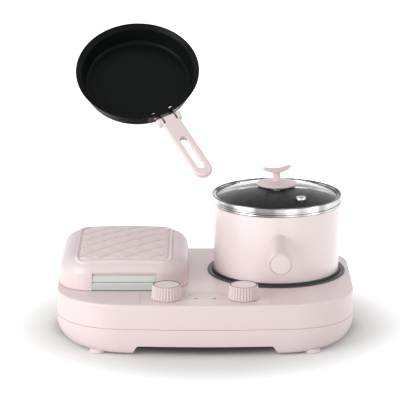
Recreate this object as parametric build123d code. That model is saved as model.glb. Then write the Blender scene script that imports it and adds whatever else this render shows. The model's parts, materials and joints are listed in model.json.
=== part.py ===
from build123d import *
import math
import os

# Breakfast maker: a base with a sandwich press on the left and a boiling pot on the right,
# two rotary knobs in front, and a small frying pan that belongs to the set.
# Millimetres, +Z up, X to the right, the front faces -Y.
# The origin lies on the table, under the middle of the base.

# Base housing
base_width = 400.0
base_depth = 289.0
base_top = 71.0
front_bow_radius = 1300.0
front_corner_radius = 90.0
back_corner_radius = 72.0
housing_wall = 2.5
top_plate = 3.0
top_edge_radius = 2.5
parting_height = 37.3
parting_gap = 0.5
parting_lip_height = 3.0
parting_lip_wall = 1.2
lip_clearance = 0.2
skirt_clear = 3.0
skirt_round = 28.0
skirt_end_reach = 8.0
skirt_steps = 6

# Arch under the base
arch_height = 14.0
arch_half_width = 90.0
arch_flare = 8.0
arch_corner_radius = 4.0

# Feet and housing screws
foot_radius = 11.0
foot_height = 6.0
foot_edge_radius = 1.5
foot_x = 142.0
front_foot_y = -118.0
back_foot_y = 98.0
boss_radius = 4.5
boss_x = 150.0
front_boss_y = -100.0
back_boss_y = 116.0
screw_head_radius = 3.2
screw_cross_reach = 1.2
screw_cross_width = 0.2
screw_head_height = 2.5
screw_shank_radius = 1.5
screw_length = 22.0
screw_seat_below_parting = 9.0
screw_fit = 0.05
head_clearance = 0.4

# Control panel, indicator lights and knobs
panel_left = -86.0
panel_right = 87.0
panel_back = -86.0
panel_edge_inset = 6.0
panel_corner_radius = 6.0
panel_thickness = 1.5
panel_clearance = 0.3
light_x = 12.4
light_y = -111.0
light_length = 5.0
light_width = 2.5
light_rise = 0.2
light_clearance = 0.1
knob_x = 51.0
knob_y = -108.0
knob_base_radius = 20.4
knob_rim_radius = 18.9
knob_height = 18.6
knob_gap = 0.6
knob_wall = 2.2
knob_flutes = 36
flute_radius = 1.15
flute_depth = 0.75
knob_cap_radius = 17.5
knob_cap_thickness = 2.4
knob_cap_clearance = 0.35
knob_cap_sink = 0.4
knob_cap_corner = 0.5
knob_top_round = 0.6
knob_hub_radius = 6.0
shaft_radius = 3.0
shaft_flat = 1.0
shaft_fit = 0.05
shaft_engagement = 12.0
shaft_depth = 18.0
bushing_radius = 4.5
bushing_clearance = 0.3
switch_width = 44.0
switch_depth = 36.0
switch_height = 27.0
switch_corner = 4.0

# Heater well and hotplate
well_x = 98.5
well_y = 33.0
well_outer_radius = 95.0
well_inner_radius = 86.2
well_rim_height = 1.6
well_lip_drop = 1.2
well_wall = 1.5
well_floor = 43.0
well_hole_clearance = 0.4
hotplate_radius = 58.0
hotplate_ledge = 6.0
hotplate_ledge_height = 2.0
hotplate_drop = 4.0
hotplate_top = 53.8
hotplate_clearance = 0.4
hotplate_edge = 1.0
ring_element_radius = 40.0
ring_element_wire = 3.5
thermostat_radius = 8.0
thermostat_height = 7.0

# Sandwich press
press_x = -109.75
press_y = 22.0
closing_gap = 0.6
tub_width = 158.0
tub_depth = 168.0
tub_corner = 30.0
tub_wall = 1.5
tub_deep = 25.0
tub_clearance = 0.3
tub_flange = 4.0
tub_post_radius = 4.0
plate_clearance = 0.5
plate_sink = 0.3
plate_thickness = 2.5
dish_width = 134.0
dish_depth = 144.0
dish_corner = 20.0
dish_deep = 11.0
dish_floor_radius = 6.0
rib_height = 1.4
rib_width = 3.0
rib_pitch = 20.0
rib_count = 6
element_wire = 3.25
element_half_width = 42.0
element_front = 46.0
element_back = 66.0
element_bend = 22.0
element_gap = 0.1

# Sandwich lid
lid_width = 173.5
lid_depth = 194.0
lid_corner = 44.0
lid_top = 117.0
lid_crown_radius = 1000.0
lid_shoulder = 21.0
lid_wall = 2.5
lid_roof = 4.0
quilt_width = 131.0
quilt_depth = 160.0
quilt_corner = 14.0
quilt_pocket = 2.0
quilt_clearance = 0.15
bead_width = 3.4
bead_height = 1.2
bead_round = 1.0
bead_groove_width = 3.0
bead_groove_depth = 0.8
quilt_rise = 0.7
quilt_diagonal = 34.5
quilt_line_width = 3.2
quilt_line_depth = 1.1
quilt_lines = 8

# Lid hinge
hinge_height = 14.0
hinge_behind_lid = 6.0
hinge_radius = 5.5
hinge_pin_radius = 2.5
hinge_fit = 0.05
hinge_barrel_length = 72.0
hinge_ear_width = 8.0
hinge_side_gap = 0.5
hinge_web = 6.0
hinge_foot_height = 2.5
hinge_foot_depth = 16.0
hinge_pin_recess = 0.5

# Latch in the front of the sandwich lid
latch_left = -151.5
latch_right = -65.7
latch_recess_depth = 9.0
latch_recess_height = 20.0
latch_lip_height = 5.4
latch_lip_depth = 3.5
latch_wall = 2.0
latch_side_gap = 0.3
latch_face_inset = 0.4
latch_pin_radius = 1.25
latch_pin_fit = 0.05
latch_barrel_radius = 2.5
latch_plate = 2.2
latch_foot_gap = 0.5
latch_split_height = 12.0
latch_split_gap = 0.6
nib_width = 12.0
nib_height = 1.6
nib_reach = 1.7
nib_from_foot = 1.2
catch_width = 10.0
catch_thickness = 1.6
catch_height = 4.5
catch_gap = 0.4
catch_flange = 3.0
catch_flange_thickness = 1.5
catch_clearance = 0.2

# Pot
pot_x = 99.0
pot_y = 33.0
pot_seat_gap = 0.2
pot_top_radius = 86.0
pot_low_radius = 83.6
pot_shell_top = 165.3
pot_shell_wall = 2.0
pot_shell_raise = 0.4
pot_bottom_round = 6.0
pot_disc_radius = 66.0
pot_disc_thickness = 2.6
pot_disc_clearance = 1.0
liner_wall = 0.9
liner_gap = 0.5
liner_floor = 1.0
liner_floor_round = 8.0
rim_outer_radius = 86.8
rim_height = 3.6
rim_round = 1.4
rim_gap = 0.1
handle_root_radius = 10.0
handle_root_height = 133.0
handle_root_y = -40.0
handle_end_radius = 14.4
handle_end_x = 99.7
handle_end_y = -126.5
handle_end_height = 121.0
handle_end_round = 2.5
handle_cap_radius = 11.8
handle_cap_thickness = 2.0
handle_cap_clearance = 0.2
handle_screw_radius = 2.0
handle_screw_length = 40.0

# Pot lid
lid_seat_gap = 0.4
band_radius = 86.5
band_height = 8.4
band_wall = 2.5
band_step_height = 1.2
band_step = 0.9
band_round = 1.0
band_lip = 3.2
band_lip_thickness = 0.8
glass_thickness = 4.0
glass_edge_gap = 0.1
glass_rise = 12.3
glass_hole_radius = 4.0
vent_angle = -53.0
vent_reach = 65.7
vent_flange_radius = 5.8
vent_flange = 0.9
vent_tube_radius = 3.8
vent_bore_radius = 2.4
vent_fit = 0.1
knob_disc_radius = 27.8
knob_disc_height = 3.2
knob_disc_edge = 1.6
knob_disc_gap = 0.2
stem_radius = 5.25
stem_height = 12.3
crescent_length = 39.5
crescent_depth = 17.0
crescent_corner = 8.0
crescent_sag = 9.0
crescent_thickness = 4.6
crescent_tip_sag = 5.5
crescent_turn = 9.0
lid_screw_radius = 2.0
lid_screw_fit = 0.05
lid_screw_engagement = 10.0
lid_screw_head_radius = 4.5
lid_screw_head = 2.4
washer_radius = 9.0
washer_thickness = 1.4
washer_gap = 0.1

# Frying pan
pan_x = -90.6
pan_y = 0.0
pan_height = 357.7
pan_tilt = 39.6
pan_rim_radius = 82.8
pan_depth = 29.0
pan_floor_radius = 72.5
pan_wall = 1.8
pan_step_in = 5.0
pan_step_down = 4.5
pan_step_land = 1.6
pan_lip = 1.2
pan_floor_round = 5.0
pan_handle_turn = 28.2
pan_pivot_reach = 91.5
pan_pivot_drop = 5.0
pan_pin_radius = 1.5
pan_pin_fit = 0.05
pan_barrel_radius = 6.0
pan_barrel_length = 34.0
pan_boss_round = 1.5
pan_tab_spread = 9.0
pan_tab_thickness = 2.4
pan_tab_gap = 0.3
pan_tab_radius = 4.0
pan_tab_low_share = 0.7
pan_tab_high_share = 0.6
pan_bracket_wedge = 1.2
pan_slot_radius = 7.5
pan_bracket_half_angle = 17.0
pan_bracket_thickness = 1.4
pan_bracket_low = 19.0
pan_bracket_high = 5.6
pan_rivet_radius = 2.0
pan_rivet_head = 3.4
pan_rivet_head_height = 1.2
pan_rivet_spread = 13.0
pan_blade_end = 197.0
pan_blade_width = 25.0
pan_blade_thickness = 9.0
pan_blade_edge = 2.6
pan_window_start = 127.0
pan_window_end = 185.5
pan_window_width = 10.5

# Rear cord inlet and inner wiring block
gland_x = 60.0
gland_height = 25.0
gland_radius = 6.0
gland_bore = 3.6
gland_flange_radius = 8.0
gland_flange = 2.0
gland_flange_gap = 1.0
gland_inside = 5.0
gland_clearance = 0.1
block_x = 0.0
block_y = 70.0
block_width = 42.0
block_depth = 18.0
block_height = 14.0
block_ways = 3
block_hole_radius = 2.2

# Levels and places that follow from the sizes above
lid_bottom = base_top + closing_gap
closing_plane = base_top + closing_gap / 2
base_front = -base_depth / 2
base_back = base_depth / 2
arch_roof = arch_height + housing_wall
tub_floor = base_top - tub_deep
lid_front = press_y - lid_depth / 2
lid_back = press_y + lid_depth / 2
lid_crown_centre = lid_top - lid_crown_radius
hinge_y = lid_back + hinge_behind_lid
hinge_z = base_top + hinge_height
pot_bottom = hotplate_top + pot_seat_gap
pot_rim_bottom = pot_shell_top + rim_gap
pot_rim_top = pot_rim_bottom + rim_height
glass_radius = band_radius - band_wall
glass_edge_top = pot_rim_top + lid_seat_gap + band_height + band_step_height - band_lip_thickness
glass_dome_reach = glass_radius - band_lip
glass_dome_radius = (glass_dome_reach ** 2 + glass_rise ** 2) / (2 * glass_rise)
glass_dome_centre = glass_edge_top + glass_rise - glass_dome_radius
glass_top = glass_edge_top + glass_rise
far = 1000.0
overlap_reach = far / 100


def slab(x_low, x_high, y_low, y_high, z_low, z_high):
    """A block between two corners."""
    middle = Pos((x_low + x_high) / 2, (y_low + y_high) / 2, (z_low + z_high) / 2)
    return middle * Box(x_high - x_low, y_high - y_low, z_high - z_low)


def disc(x, y, z_low, z_high, radius):
    """An upright cylinder between two heights."""
    return Pos(x, y, (z_low + z_high) / 2) * Cylinder(radius, z_high - z_low)


def rod_x(x_low, x_high, y, z, radius):
    """A cylinder that lies along X."""
    return Pos((x_low + x_high) / 2, y, z) * Rot(0, 90, 0) * Cylinder(radius, x_high - x_low)


def rounded_block(x, y, z_low, z_high, width, depth, corner):
    """An upright block with rounded corners in plan."""
    return extrude(Pos(x, y, z_low) * RectangleRounded(width, depth, corner), z_high - z_low)


def prism_x(points, x_low, x_high):
    """An outline of (y, z) points, pulled along X."""
    plane = Plane((x_low, 0, 0), x_dir=(0, 1, 0), z_dir=(1, 0, 0))
    return extrude(plane * make_face(Polyline(*points, close=True)), x_high - x_low)


def turned(points):
    """A solid of revolution about Z from (radius, height) points."""
    outline = Plane.XZ * make_face(Polyline(*points, close=True))
    return revolve(outline, Axis.Z)


def base_outline(side_in, end_in):
    """Plan outline of the base, drawn in at the sides and at the front and back."""
    half_width = base_width / 2 - side_in
    front = base_front + end_in
    back = base_back - end_in
    side_front = front + half_width ** 2 / (2 * front_bow_radius)
    bow = ThreePointArc((-half_width, side_front), (0, front), (half_width, side_front))
    sides = Polyline(
        (half_width, side_front), (half_width, back), (-half_width, back), (-half_width, side_front)
    )
    face = make_face(bow + sides)
    shrink = (side_in + end_in) / 2
    face = fillet(face.vertices().group_by(Axis.Y)[0], front_corner_radius - shrink)
    return fillet(face.vertices().group_by(Axis.Y)[-1].sort_by(Axis.X), back_corner_radius - shrink)


def skirt(wall):
    """Closed form of the lower housing, drawn in by wall: it rounds under at the sides."""
    sections = []
    for step in range(skirt_steps + 1):
        turn = math.pi / 2 * step / skirt_steps
        rise = (skirt_round - wall) * (1 - math.cos(turn))
        fade = 1 - math.sin(turn)
        side_in = wall + (skirt_round - wall) * fade
        end_in = wall + (skirt_end_reach - wall) * fade
        sections.append(Pos(0, 0, skirt_clear + wall + rise) * base_outline(side_in, end_in))
    rounded = loft(sections)
    upright_from = skirt_clear + skirt_round
    upright = extrude(Pos(0, 0, upright_from) * base_outline(wall, wall), parting_height - upright_from)
    return rounded + upright


def arch(grow):
    """The arch that runs under the base from front to back, larger by grow on its sides and top."""
    top = arch_height + grow
    half_top = arch_half_width + grow
    slope = arch_flare / arch_height
    half_low = half_top + slope * (top + overlap_reach)
    corners = [(-half_low, -overlap_reach), (half_low, -overlap_reach), (half_top, top), (-half_top, top)]
    face = make_face(Polyline(*corners, close=True))
    face = fillet(face.vertices().group_by(Axis.Y)[-1], arch_corner_radius + grow)
    plane = Plane((0, base_depth, 0), x_dir=(1, 0, 0), z_dir=(0, -1, 0))
    return extrude(plane * face, 2 * base_depth)


def boss_places():
    """Centres of the four screw bosses."""
    return [(side * boss_x, y) for side in (-1, 1) for y in (front_boss_y, back_boss_y)]


def make_lower_housing():
    """Bottom tray of the base: rounded skirt, arch, screw bosses, and the lip inside the seam."""
    outside = skirt(0)
    hollow = skirt(housing_wall) - arch(housing_wall)
    tray = outside - arch(0) - hollow
    lip_out = base_outline(housing_wall + lip_clearance, housing_wall + lip_clearance)
    lip_in = base_outline(
        housing_wall + lip_clearance + parting_lip_wall, housing_wall + lip_clearance + parting_lip_wall
    )
    root_out = base_outline(housing_wall / 2, housing_wall / 2)
    lip_root = parting_height - parting_lip_height
    collar = extrude(Pos(0, 0, lip_root) * root_out, parting_lip_height)
    collar = collar + extrude(Pos(0, 0, parting_height) * lip_out, parting_lip_height)
    collar = collar - extrude(Pos(0, 0, lip_root) * lip_in, 2 * parting_lip_height)
    tray = tray + collar
    seat = parting_height - screw_seat_below_parting
    for x, y in boss_places():
        tray = tray + (disc(x, y, skirt_clear, parting_height, boss_radius) & outside)
    for x, y in boss_places():
        tray = tray - disc(x, y, 0, seat, screw_head_radius + head_clearance)
        tray = tray - disc(x, y, seat, parting_height, screw_shank_radius + screw_fit)
    gland_hole = Pos(gland_x, base_back, gland_height) * Rot(90, 0, 0)
    tray = tray - gland_hole * Cylinder(gland_radius + gland_clearance, 6 * housing_wall)
    return tray


def panel_face(grow):
    """Plan of the control panel: its front edge follows the bow of the base."""
    width = panel_right - panel_left
    depth = panel_back - base_front
    middle = Pos((panel_right + panel_left) / 2, panel_back - depth / 2)
    inset = panel_edge_inset - grow
    face = middle * Rectangle(width + 2 * grow, depth + 2 * grow) & base_outline(inset, inset)
    return fillet(face.vertices(), panel_corner_radius)


def switch_places():
    """X places of the two rotary switches."""
    return [-knob_x, knob_x]


def make_upper_housing():
    """Top shell of the base, with its openings for the press, the well and the controls."""
    start = parting_height + parting_gap
    block = extrude(Pos(0, 0, start) * base_outline(0, 0), base_top - start)
    block = fillet(block.faces().sort_by(Axis.Z)[-1].edges(), top_edge_radius)
    ceiling = base_top - top_plate
    inside = extrude(Pos(0, 0, start) * base_outline(housing_wall, housing_wall), ceiling - start)
    shell = block - inside
    for x, y in boss_places():
        shell = shell + disc(x, y, parting_height, ceiling, boss_radius)
    for x, y in boss_places():
        thread_top = parting_height + screw_length
        shell = shell - disc(x, y, 0, thread_top, screw_shank_radius + screw_fit)
    panel_floor = base_top - panel_thickness
    shell = shell - extrude(Pos(0, 0, panel_floor) * panel_face(panel_clearance), far)
    for x in switch_places():
        shell = shell - disc(x, knob_y, ceiling, base_top, bushing_radius + bushing_clearance)
    hole_radius = well_inner_radius + well_wall + well_hole_clearance
    shell = shell - disc(well_x, well_y, ceiling, base_top, hole_radius)
    shell = shell - rounded_block(
        press_x, press_y, ceiling, base_top,
        tub_width + 2 * tub_clearance, tub_depth + 2 * tub_clearance, tub_corner + tub_clearance,
    )
    return shell - catch_tongue(catch_clearance)


def make_base_feet():
    """Four short round feet under the skirt."""
    outside = skirt(0)
    feet = []
    for side in (-1, 1):
        for y in (front_foot_y, back_foot_y):
            foot = disc(side * foot_x, y, 0, foot_height, foot_radius)
            foot = fillet(foot.edges().group_by(Axis.Z)[0], foot_edge_radius)
            feet.append(foot - outside)
    return feet


def make_base_screws():
    """Four screws that hold the two housings together, driven from below."""
    seat = parting_height - screw_seat_below_parting
    screws = []
    for x, y in boss_places():
        head = disc(x, y, seat - screw_head_height, seat, screw_head_radius)
        shank = disc(x, y, seat, seat + screw_length, screw_shank_radius)
        slot_depth = screw_head_height / 2
        slot_low = seat - screw_head_height
        across = screw_head_radius * screw_cross_reach
        narrow = screw_head_radius * screw_cross_width
        cross = slab(x - across / 2, x + across / 2, y - narrow, y + narrow, slot_low, slot_low + slot_depth)
        cross = cross + slab(
            x - narrow, x + narrow, y - across / 2, y + across / 2, slot_low, slot_low + slot_depth
        )
        screws.append(head + shank - cross)
    return screws


def light_places():
    """X places of the two indicator lights."""
    return [-light_x, light_x]


def make_control_panel():
    """Thin inlay on the top, pierced for the two bushings and the two lights."""
    floor = base_top - panel_thickness
    panel = extrude(Pos(0, 0, floor) * panel_face(0), panel_thickness)
    for x in switch_places():
        panel = panel - disc(x, knob_y, floor, base_top, bushing_radius + bushing_clearance)
    for x in light_places():
        window = SlotOverall(light_length + 2 * light_clearance, light_width + 2 * light_clearance)
        panel = panel - extrude(Pos(x, light_y, floor) * window, panel_thickness)
    return panel


def make_indicator_lenses():
    """Two small lenses in the panel."""
    floor = base_top - panel_thickness
    lenses = []
    for x in light_places():
        outline = Pos(x, light_y, floor) * SlotOverall(light_length, light_width)
        lens = extrude(outline, panel_thickness + light_rise)
        lenses.append(lens)
    return lenses


def make_switch_unit(x):
    """Rotary timer or heat switch under the top plate, with its threaded bushing."""
    ceiling = base_top - top_plate
    case = rounded_block(
        x, knob_y, ceiling - switch_height, ceiling, switch_width, switch_depth, switch_corner
    )
    bushing = disc(x, knob_y, ceiling, base_top, bushing_radius)
    shaft_end = ceiling - shaft_depth
    return case + bushing - disc(x, knob_y, shaft_end - knob_gap, base_top, shaft_radius + shaft_fit)


def make_knob(x):
    """Fluted knob with a hollow underside and a hub for the shaft."""
    low = base_top + knob_gap
    high = low + knob_height
    taper = (knob_base_radius - knob_rim_radius) / knob_height
    body = Pos(0, 0, (low + high) / 2) * Cone(knob_base_radius, knob_rim_radius, knob_height)
    body = fillet(body.edges().group_by(Axis.Z)[-1], knob_top_round)
    tilt = math.degrees(math.atan(taper))
    flute_reach = (knob_base_radius + knob_rim_radius) / 2 + flute_radius - flute_depth
    flute = Pos(flute_reach, 0, (low + high) / 2) * Rot(0, -tilt, 0) * Cylinder(flute_radius, 2 * knob_height)
    turns = [Rot(0, 0, 360 * index / knob_flutes) * flute for index in range(knob_flutes)]
    body = body - turns
    cap_floor = high - knob_cap_thickness
    body = body - disc(0, 0, cap_floor, high, knob_cap_radius + knob_cap_clearance)
    ceiling = cap_floor - knob_wall
    hollow = disc(0, 0, low, ceiling, knob_rim_radius - flute_depth - knob_wall)
    hollow = hollow - disc(0, 0, low, ceiling, knob_hub_radius)
    body = body - hollow - shaft_form(low, low + shaft_engagement, shaft_fit)
    return Pos(x, knob_y, 0) * body


def shaft_form(low, high, grow):
    """Upright shaft with a flat on one side."""
    form = disc(0, 0, low, high, shaft_radius + grow)
    flat = shaft_radius - shaft_flat + grow
    return form - slab(flat, far, -far, far, low, high)


def make_knob_cap(x):
    """Disc let into the top of a knob."""
    high = base_top + knob_gap + knob_height - knob_cap_sink
    low = base_top + knob_gap + knob_height - knob_cap_thickness
    cap = disc(x, knob_y, low, high, knob_cap_radius)
    return fillet(cap.edges().group_by(Axis.Z)[-1], knob_cap_corner)


def make_knob_shaft(x):
    """Shaft that joins a knob to its switch: round in the switch, flatted in the knob."""
    knob_low = base_top + knob_gap
    low = base_top - top_plate - shaft_depth
    shaft = disc(0, 0, low, knob_low, shaft_radius) + shaft_form(knob_low, knob_low + shaft_engagement, 0)
    return Pos(x, knob_y, 0) * shaft


def make_heater_well():
    """Sunken tray for the pot, with a sloped flange that lies on the top of the base."""
    tray_out = well_inner_radius + well_wall
    flange_top = base_top + well_rim_height
    points = [
        (hotplate_radius + hotplate_clearance, well_floor - well_wall),
        (tray_out, well_floor - well_wall),
        (tray_out, base_top),
        (well_outer_radius, base_top),
        (well_outer_radius, base_top + well_rim_height / 2),
        (well_outer_radius - well_rim_height / 2, flange_top),
        (tray_out + well_wall, flange_top),
        (well_inner_radius, base_top - well_lip_drop),
        (well_inner_radius, well_floor),
        (hotplate_radius + hotplate_clearance, well_floor),
    ]
    return Pos(well_x, well_y, 0) * turned(points)


def make_hotplate():
    """Cast heating disc: its ledge rests on the floor of the well."""
    ledge = hotplate_radius + hotplate_ledge
    low = well_floor - hotplate_drop
    points = [
        (0, low),
        (hotplate_radius, low),
        (hotplate_radius, well_floor),
        (ledge, well_floor),
        (ledge, well_floor + hotplate_ledge_height),
        (hotplate_radius, well_floor + hotplate_ledge_height),
        (hotplate_radius, hotplate_top - hotplate_edge),
        (hotplate_radius - hotplate_edge, hotplate_top),
        (0, hotplate_top),
    ]
    return Pos(well_x, well_y, 0) * turned(points)


def make_hotplate_element():
    """Ring heater under the hotplate."""
    level = well_floor - hotplate_drop - ring_element_wire - element_gap
    return Pos(well_x, well_y, level) * Torus(ring_element_radius, ring_element_wire)


def make_hotplate_thermostat():
    """Thermostat can, held to the middle of the hotplate's underside."""
    top = well_floor - hotplate_drop
    return disc(well_x, well_y, top - thermostat_height, top, thermostat_radius)


def post_places():
    """Centres of the four posts that carry a grill plate."""
    half_x = tub_width / 2 - tub_wall - plate_clearance - tub_post_radius
    half_y = tub_depth / 2 - tub_wall - plate_clearance - tub_post_radius
    shift = tub_corner / 4
    reach = half_x - shift
    return [(press_x + i * reach, press_y + j * (half_y - shift)) for i in (-1, 1) for j in (-1, 1)]


def tub_body():
    """Open tub under the lower grill plate, with its four posts."""
    tub = rounded_block(press_x, press_y, tub_floor, base_top, tub_width, tub_depth, tub_corner)
    tub = tub - rounded_block(
        press_x, press_y, tub_floor + tub_wall, base_top,
        tub_width - 2 * tub_wall, tub_depth - 2 * tub_wall, tub_corner - tub_wall,
    )
    seat = base_top - plate_sink - plate_thickness
    for x, y in post_places():
        tub = tub + disc(x, y, tub_floor, seat, tub_post_radius)
    return tub


def make_lower_grill_tub():
    """Lower tub: its flange bears on the underside of the top plate."""
    ceiling = base_top - top_plate
    flange = rounded_block(
        press_x, press_y, ceiling - tub_wall, ceiling,
        tub_width + 2 * tub_flange, tub_depth + 2 * tub_flange, tub_corner + tub_flange,
    )
    opening = rounded_block(
        press_x, press_y, ceiling - tub_wall, ceiling, tub_width - tub_wall, tub_depth - tub_wall, tub_corner
    )
    return tub_body() + (flange - opening)


def make_lower_grill_plate():
    """Cast grill plate: a flange with a ribbed dish."""
    high = base_top - plate_sink
    seat = high - plate_thickness
    flange = rounded_block(
        press_x, press_y, seat, high,
        tub_width - 2 * tub_wall - 2 * plate_clearance,
        tub_depth - 2 * tub_wall - 2 * plate_clearance,
        tub_corner - tub_wall - plate_clearance,
    )
    dish = rounded_block(press_x, press_y, seat - dish_deep, high, dish_width, dish_depth, dish_corner)
    dish = fillet(dish.edges().group_by(Axis.Z)[0], dish_floor_radius)
    floor = seat - dish_deep + plate_thickness
    pocket = rounded_block(
        press_x, press_y, floor, high,
        dish_width - 2 * plate_thickness, dish_depth - 2 * plate_thickness, dish_corner - plate_thickness,
    )
    pocket = fillet(pocket.edges().group_by(Axis.Z)[0], dish_floor_radius - plate_thickness)
    plate = flange + dish - pocket
    reach = dish_depth / 2 - dish_corner
    for index in range(rib_count):
        x = press_x + (index - (rib_count - 1) / 2) * rib_pitch
        plate = plate + slab(
            x - rib_width / 2, x + rib_width / 2, press_y - reach, press_y + reach,
            floor - rib_height, floor + rib_height
        )
    return plate


def make_lower_grill_element():
    """Tubular heater bent to a U under the dish of the grill plate."""
    level = base_top - plate_sink - plate_thickness - dish_deep - element_wire - element_gap
    left = press_x - element_half_width
    right = press_x + element_half_width
    back = press_y + element_back
    front = press_y - element_front
    route = FilletPolyline(
        (left, back, level), (left, front, level), (right, front, level), (right, back, level),
        radius=element_bend
    )
    section = Plane(origin=(left, back, level), z_dir=(0, -1, 0)) * Circle(element_wire)
    return sweep(section, path=route)


def make_lower_grill_thermostat():
    """Thermostat can under the middle of the dish."""
    top = base_top - plate_sink - plate_thickness - dish_deep
    return disc(press_x, press_y, top - thermostat_height, top, thermostat_radius)


def over_closing_plane(lower_piece):
    """The upper twin of a piece of the lower grill."""
    return mirror(lower_piece, about=Plane.XY.offset(closing_plane))


def crown(radius_change):
    """Ball whose top is the crowned surface of the sandwich lid."""
    return Pos(press_x, press_y, lid_crown_centre) * Rot(90, 0, 0) * Sphere(lid_crown_radius + radius_change)


def lid_block(wall, roof):
    """Closed form of the sandwich lid, drawn in by wall at the sides and by roof at the top."""
    block = rounded_block(
        press_x, press_y, lid_bottom, lid_top + lid_wall,
        lid_width - 2 * wall, lid_depth - 2 * wall, lid_corner - wall
    )
    block = block & crown(-roof)
    return fillet(block.faces().sort_by(Axis.Z)[-1].edges(), lid_shoulder - wall)


def quilt_outline(inset):
    """Upright block over the quilted field, drawn in by inset."""
    return rounded_block(
        press_x, press_y, lid_bottom, lid_top + overlap_reach,
        quilt_width - 2 * inset, quilt_depth - 2 * inset, quilt_corner - inset,
    )


def latch_recess_profile():
    """Side outline of the latch recess, with the sloped lip over it."""
    roof = lid_bottom + latch_recess_height
    floor = lid_bottom - 1
    back = lid_front + latch_recess_depth
    slope = latch_lip_height / latch_lip_depth
    return [
        (lid_front - 1, floor),
        (back, floor),
        (back, roof),
        (lid_front + latch_lip_depth, roof),
        (lid_front - 1, roof + slope * (latch_lip_depth + 1)),
    ]


def make_lid_shell():
    """Moulded shell of the sandwich lid with the hinge barrel, latch recess and quilt pocket."""
    outside = lid_block(0, 0)
    shell = outside - lid_block(lid_wall, lid_roof)
    box_top = lid_bottom + latch_recess_height + latch_wall
    recess_box = slab(
        latch_left - latch_wall, latch_right + latch_wall,
        lid_front, lid_front + latch_recess_depth + latch_wall, lid_bottom, box_top + latch_lip_height,
    )
    shell = shell + (recess_box & outside)
    shell = shell - prism_x(latch_recess_profile(), latch_left, latch_right)
    pin_y, pin_z = latch_pivot()
    pin_hole = rod_x(
        latch_left - latch_wall, latch_right + latch_wall, pin_y, pin_z, latch_pin_radius + latch_pin_fit
    )
    shell = shell - pin_hole
    shell = shell - (quilt_outline(-quilt_clearance) - crown(-quilt_pocket))
    half = hinge_barrel_length / 2
    barrel = rod_x(press_x - half, press_x + half, hinge_y, hinge_z, hinge_radius)
    web = slab(
        press_x - half, press_x + half, lid_back - lid_wall / 2, hinge_y,
        hinge_z - hinge_web / 2, hinge_z + hinge_web / 2
    )
    shell = shell + (barrel + web)
    return shell - rod_x(press_x - half, press_x + half, hinge_y, hinge_z, hinge_pin_radius + hinge_fit)


def make_lid_quilt_panel():
    """Inlaid top panel: a round bead, a groove, and a field of crossed quilt lines."""
    panel = quilt_outline(0) & crown(bead_height)
    panel = fillet(panel.faces().sort_by(Axis.Z)[-1].edges(), bead_round)
    channel = quilt_outline(bead_width) - crown(-bead_groove_depth)
    panel = panel - channel
    field = quilt_outline(bead_width + bead_groove_width) & crown(quilt_rise)
    field = fillet(field.faces().sort_by(Axis.Z)[-1].edges(), quilt_rise)
    field = field - quilt_grooves()
    return panel + field - crown(-quilt_pocket)


def quilt_grooves():
    """Crossed V grooves that follow the crown of the lid, each an arc about the ball's centre."""
    centre = Vector(press_x, press_y, lid_crown_centre)
    spacing = quilt_diagonal / math.sqrt(2)
    surface = lid_crown_radius + quilt_rise
    grooves = []
    for heading in (45, 135):
        across = Vector(math.cos(math.radians(heading)), math.sin(math.radians(heading)), 0)
        plane = Plane(origin=centre, x_dir=across, z_dir=across.cross(Vector(0, 0, 1)))
        for index in range(quilt_lines):
            offset = (index - (quilt_lines - 1) / 2) * spacing
            reach = math.sqrt(surface ** 2 - offset ** 2)
            half = quilt_line_width / 2
            up = plane.y_dir.Z
            corners = [
                (offset - half, -up * (reach + quilt_line_depth)),
                (offset, -up * (reach - quilt_line_depth)),
                (offset + half, -up * (reach + quilt_line_depth)),
            ]
            profile = plane * make_face(Polyline(*corners, close=True))
            grooves.append(revolve(profile, Axis(centre, across)))
    return grooves


def make_lid_liner():
    """Upper tub with the plate that closes the underside of the lid."""
    tub = over_closing_plane(tub_body())
    closer = rounded_block(
        press_x, press_y, lid_bottom, lid_bottom + tub_wall,
        lid_width - 2 * lid_wall - 2 * tub_clearance,
        lid_depth - 2 * lid_wall - 2 * tub_clearance,
        lid_corner - lid_wall - tub_clearance,
    )
    opening = rounded_block(
        press_x, press_y, lid_bottom, lid_bottom + tub_wall,
        tub_width - tub_wall, tub_depth - tub_wall, tub_corner
    )
    notch = slab(
        latch_left - latch_wall - tub_clearance, latch_right + latch_wall + tub_clearance,
        lid_front, lid_front + latch_recess_depth + latch_wall + tub_clearance,
        lid_bottom, lid_bottom + tub_wall,
    )
    return tub + (closer - opening - notch)


def latch_pivot():
    """Side place of the latch pin: (y, z)."""
    y = lid_front + latch_face_inset + latch_barrel_radius
    z = lid_bottom + latch_split_height - latch_split_gap - latch_barrel_radius
    return y, z


def make_latch_flap():
    """Latch flap: a barrel on the pin, a plate that hangs from it, and a nib behind its foot."""
    pin_y, pin_z = latch_pivot()
    left = latch_left + latch_side_gap
    right = latch_right - latch_side_gap
    face = lid_front + latch_face_inset
    foot = lid_bottom + latch_foot_gap
    plate = slab(left, right, face, face + latch_plate, foot, pin_z)
    flap = plate + rod_x(left, right, pin_y, pin_z, latch_barrel_radius)
    middle = (latch_left + latch_right) / 2
    nib_low = foot + nib_from_foot
    nib_back = face + latch_plate + nib_reach
    flap = flap + slab(
        middle - nib_width / 2, middle + nib_width / 2, face, nib_back, nib_low, nib_low + nib_height
    )
    return flap - rod_x(left, right, pin_y, pin_z, latch_pin_radius + latch_pin_fit)


def make_latch_pin():
    """Pin of the latch flap, held in the side walls of the recess."""
    pin_y, pin_z = latch_pivot()
    return rod_x(latch_left - latch_wall, latch_right + latch_wall, pin_y, pin_z, latch_pin_radius)


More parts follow.
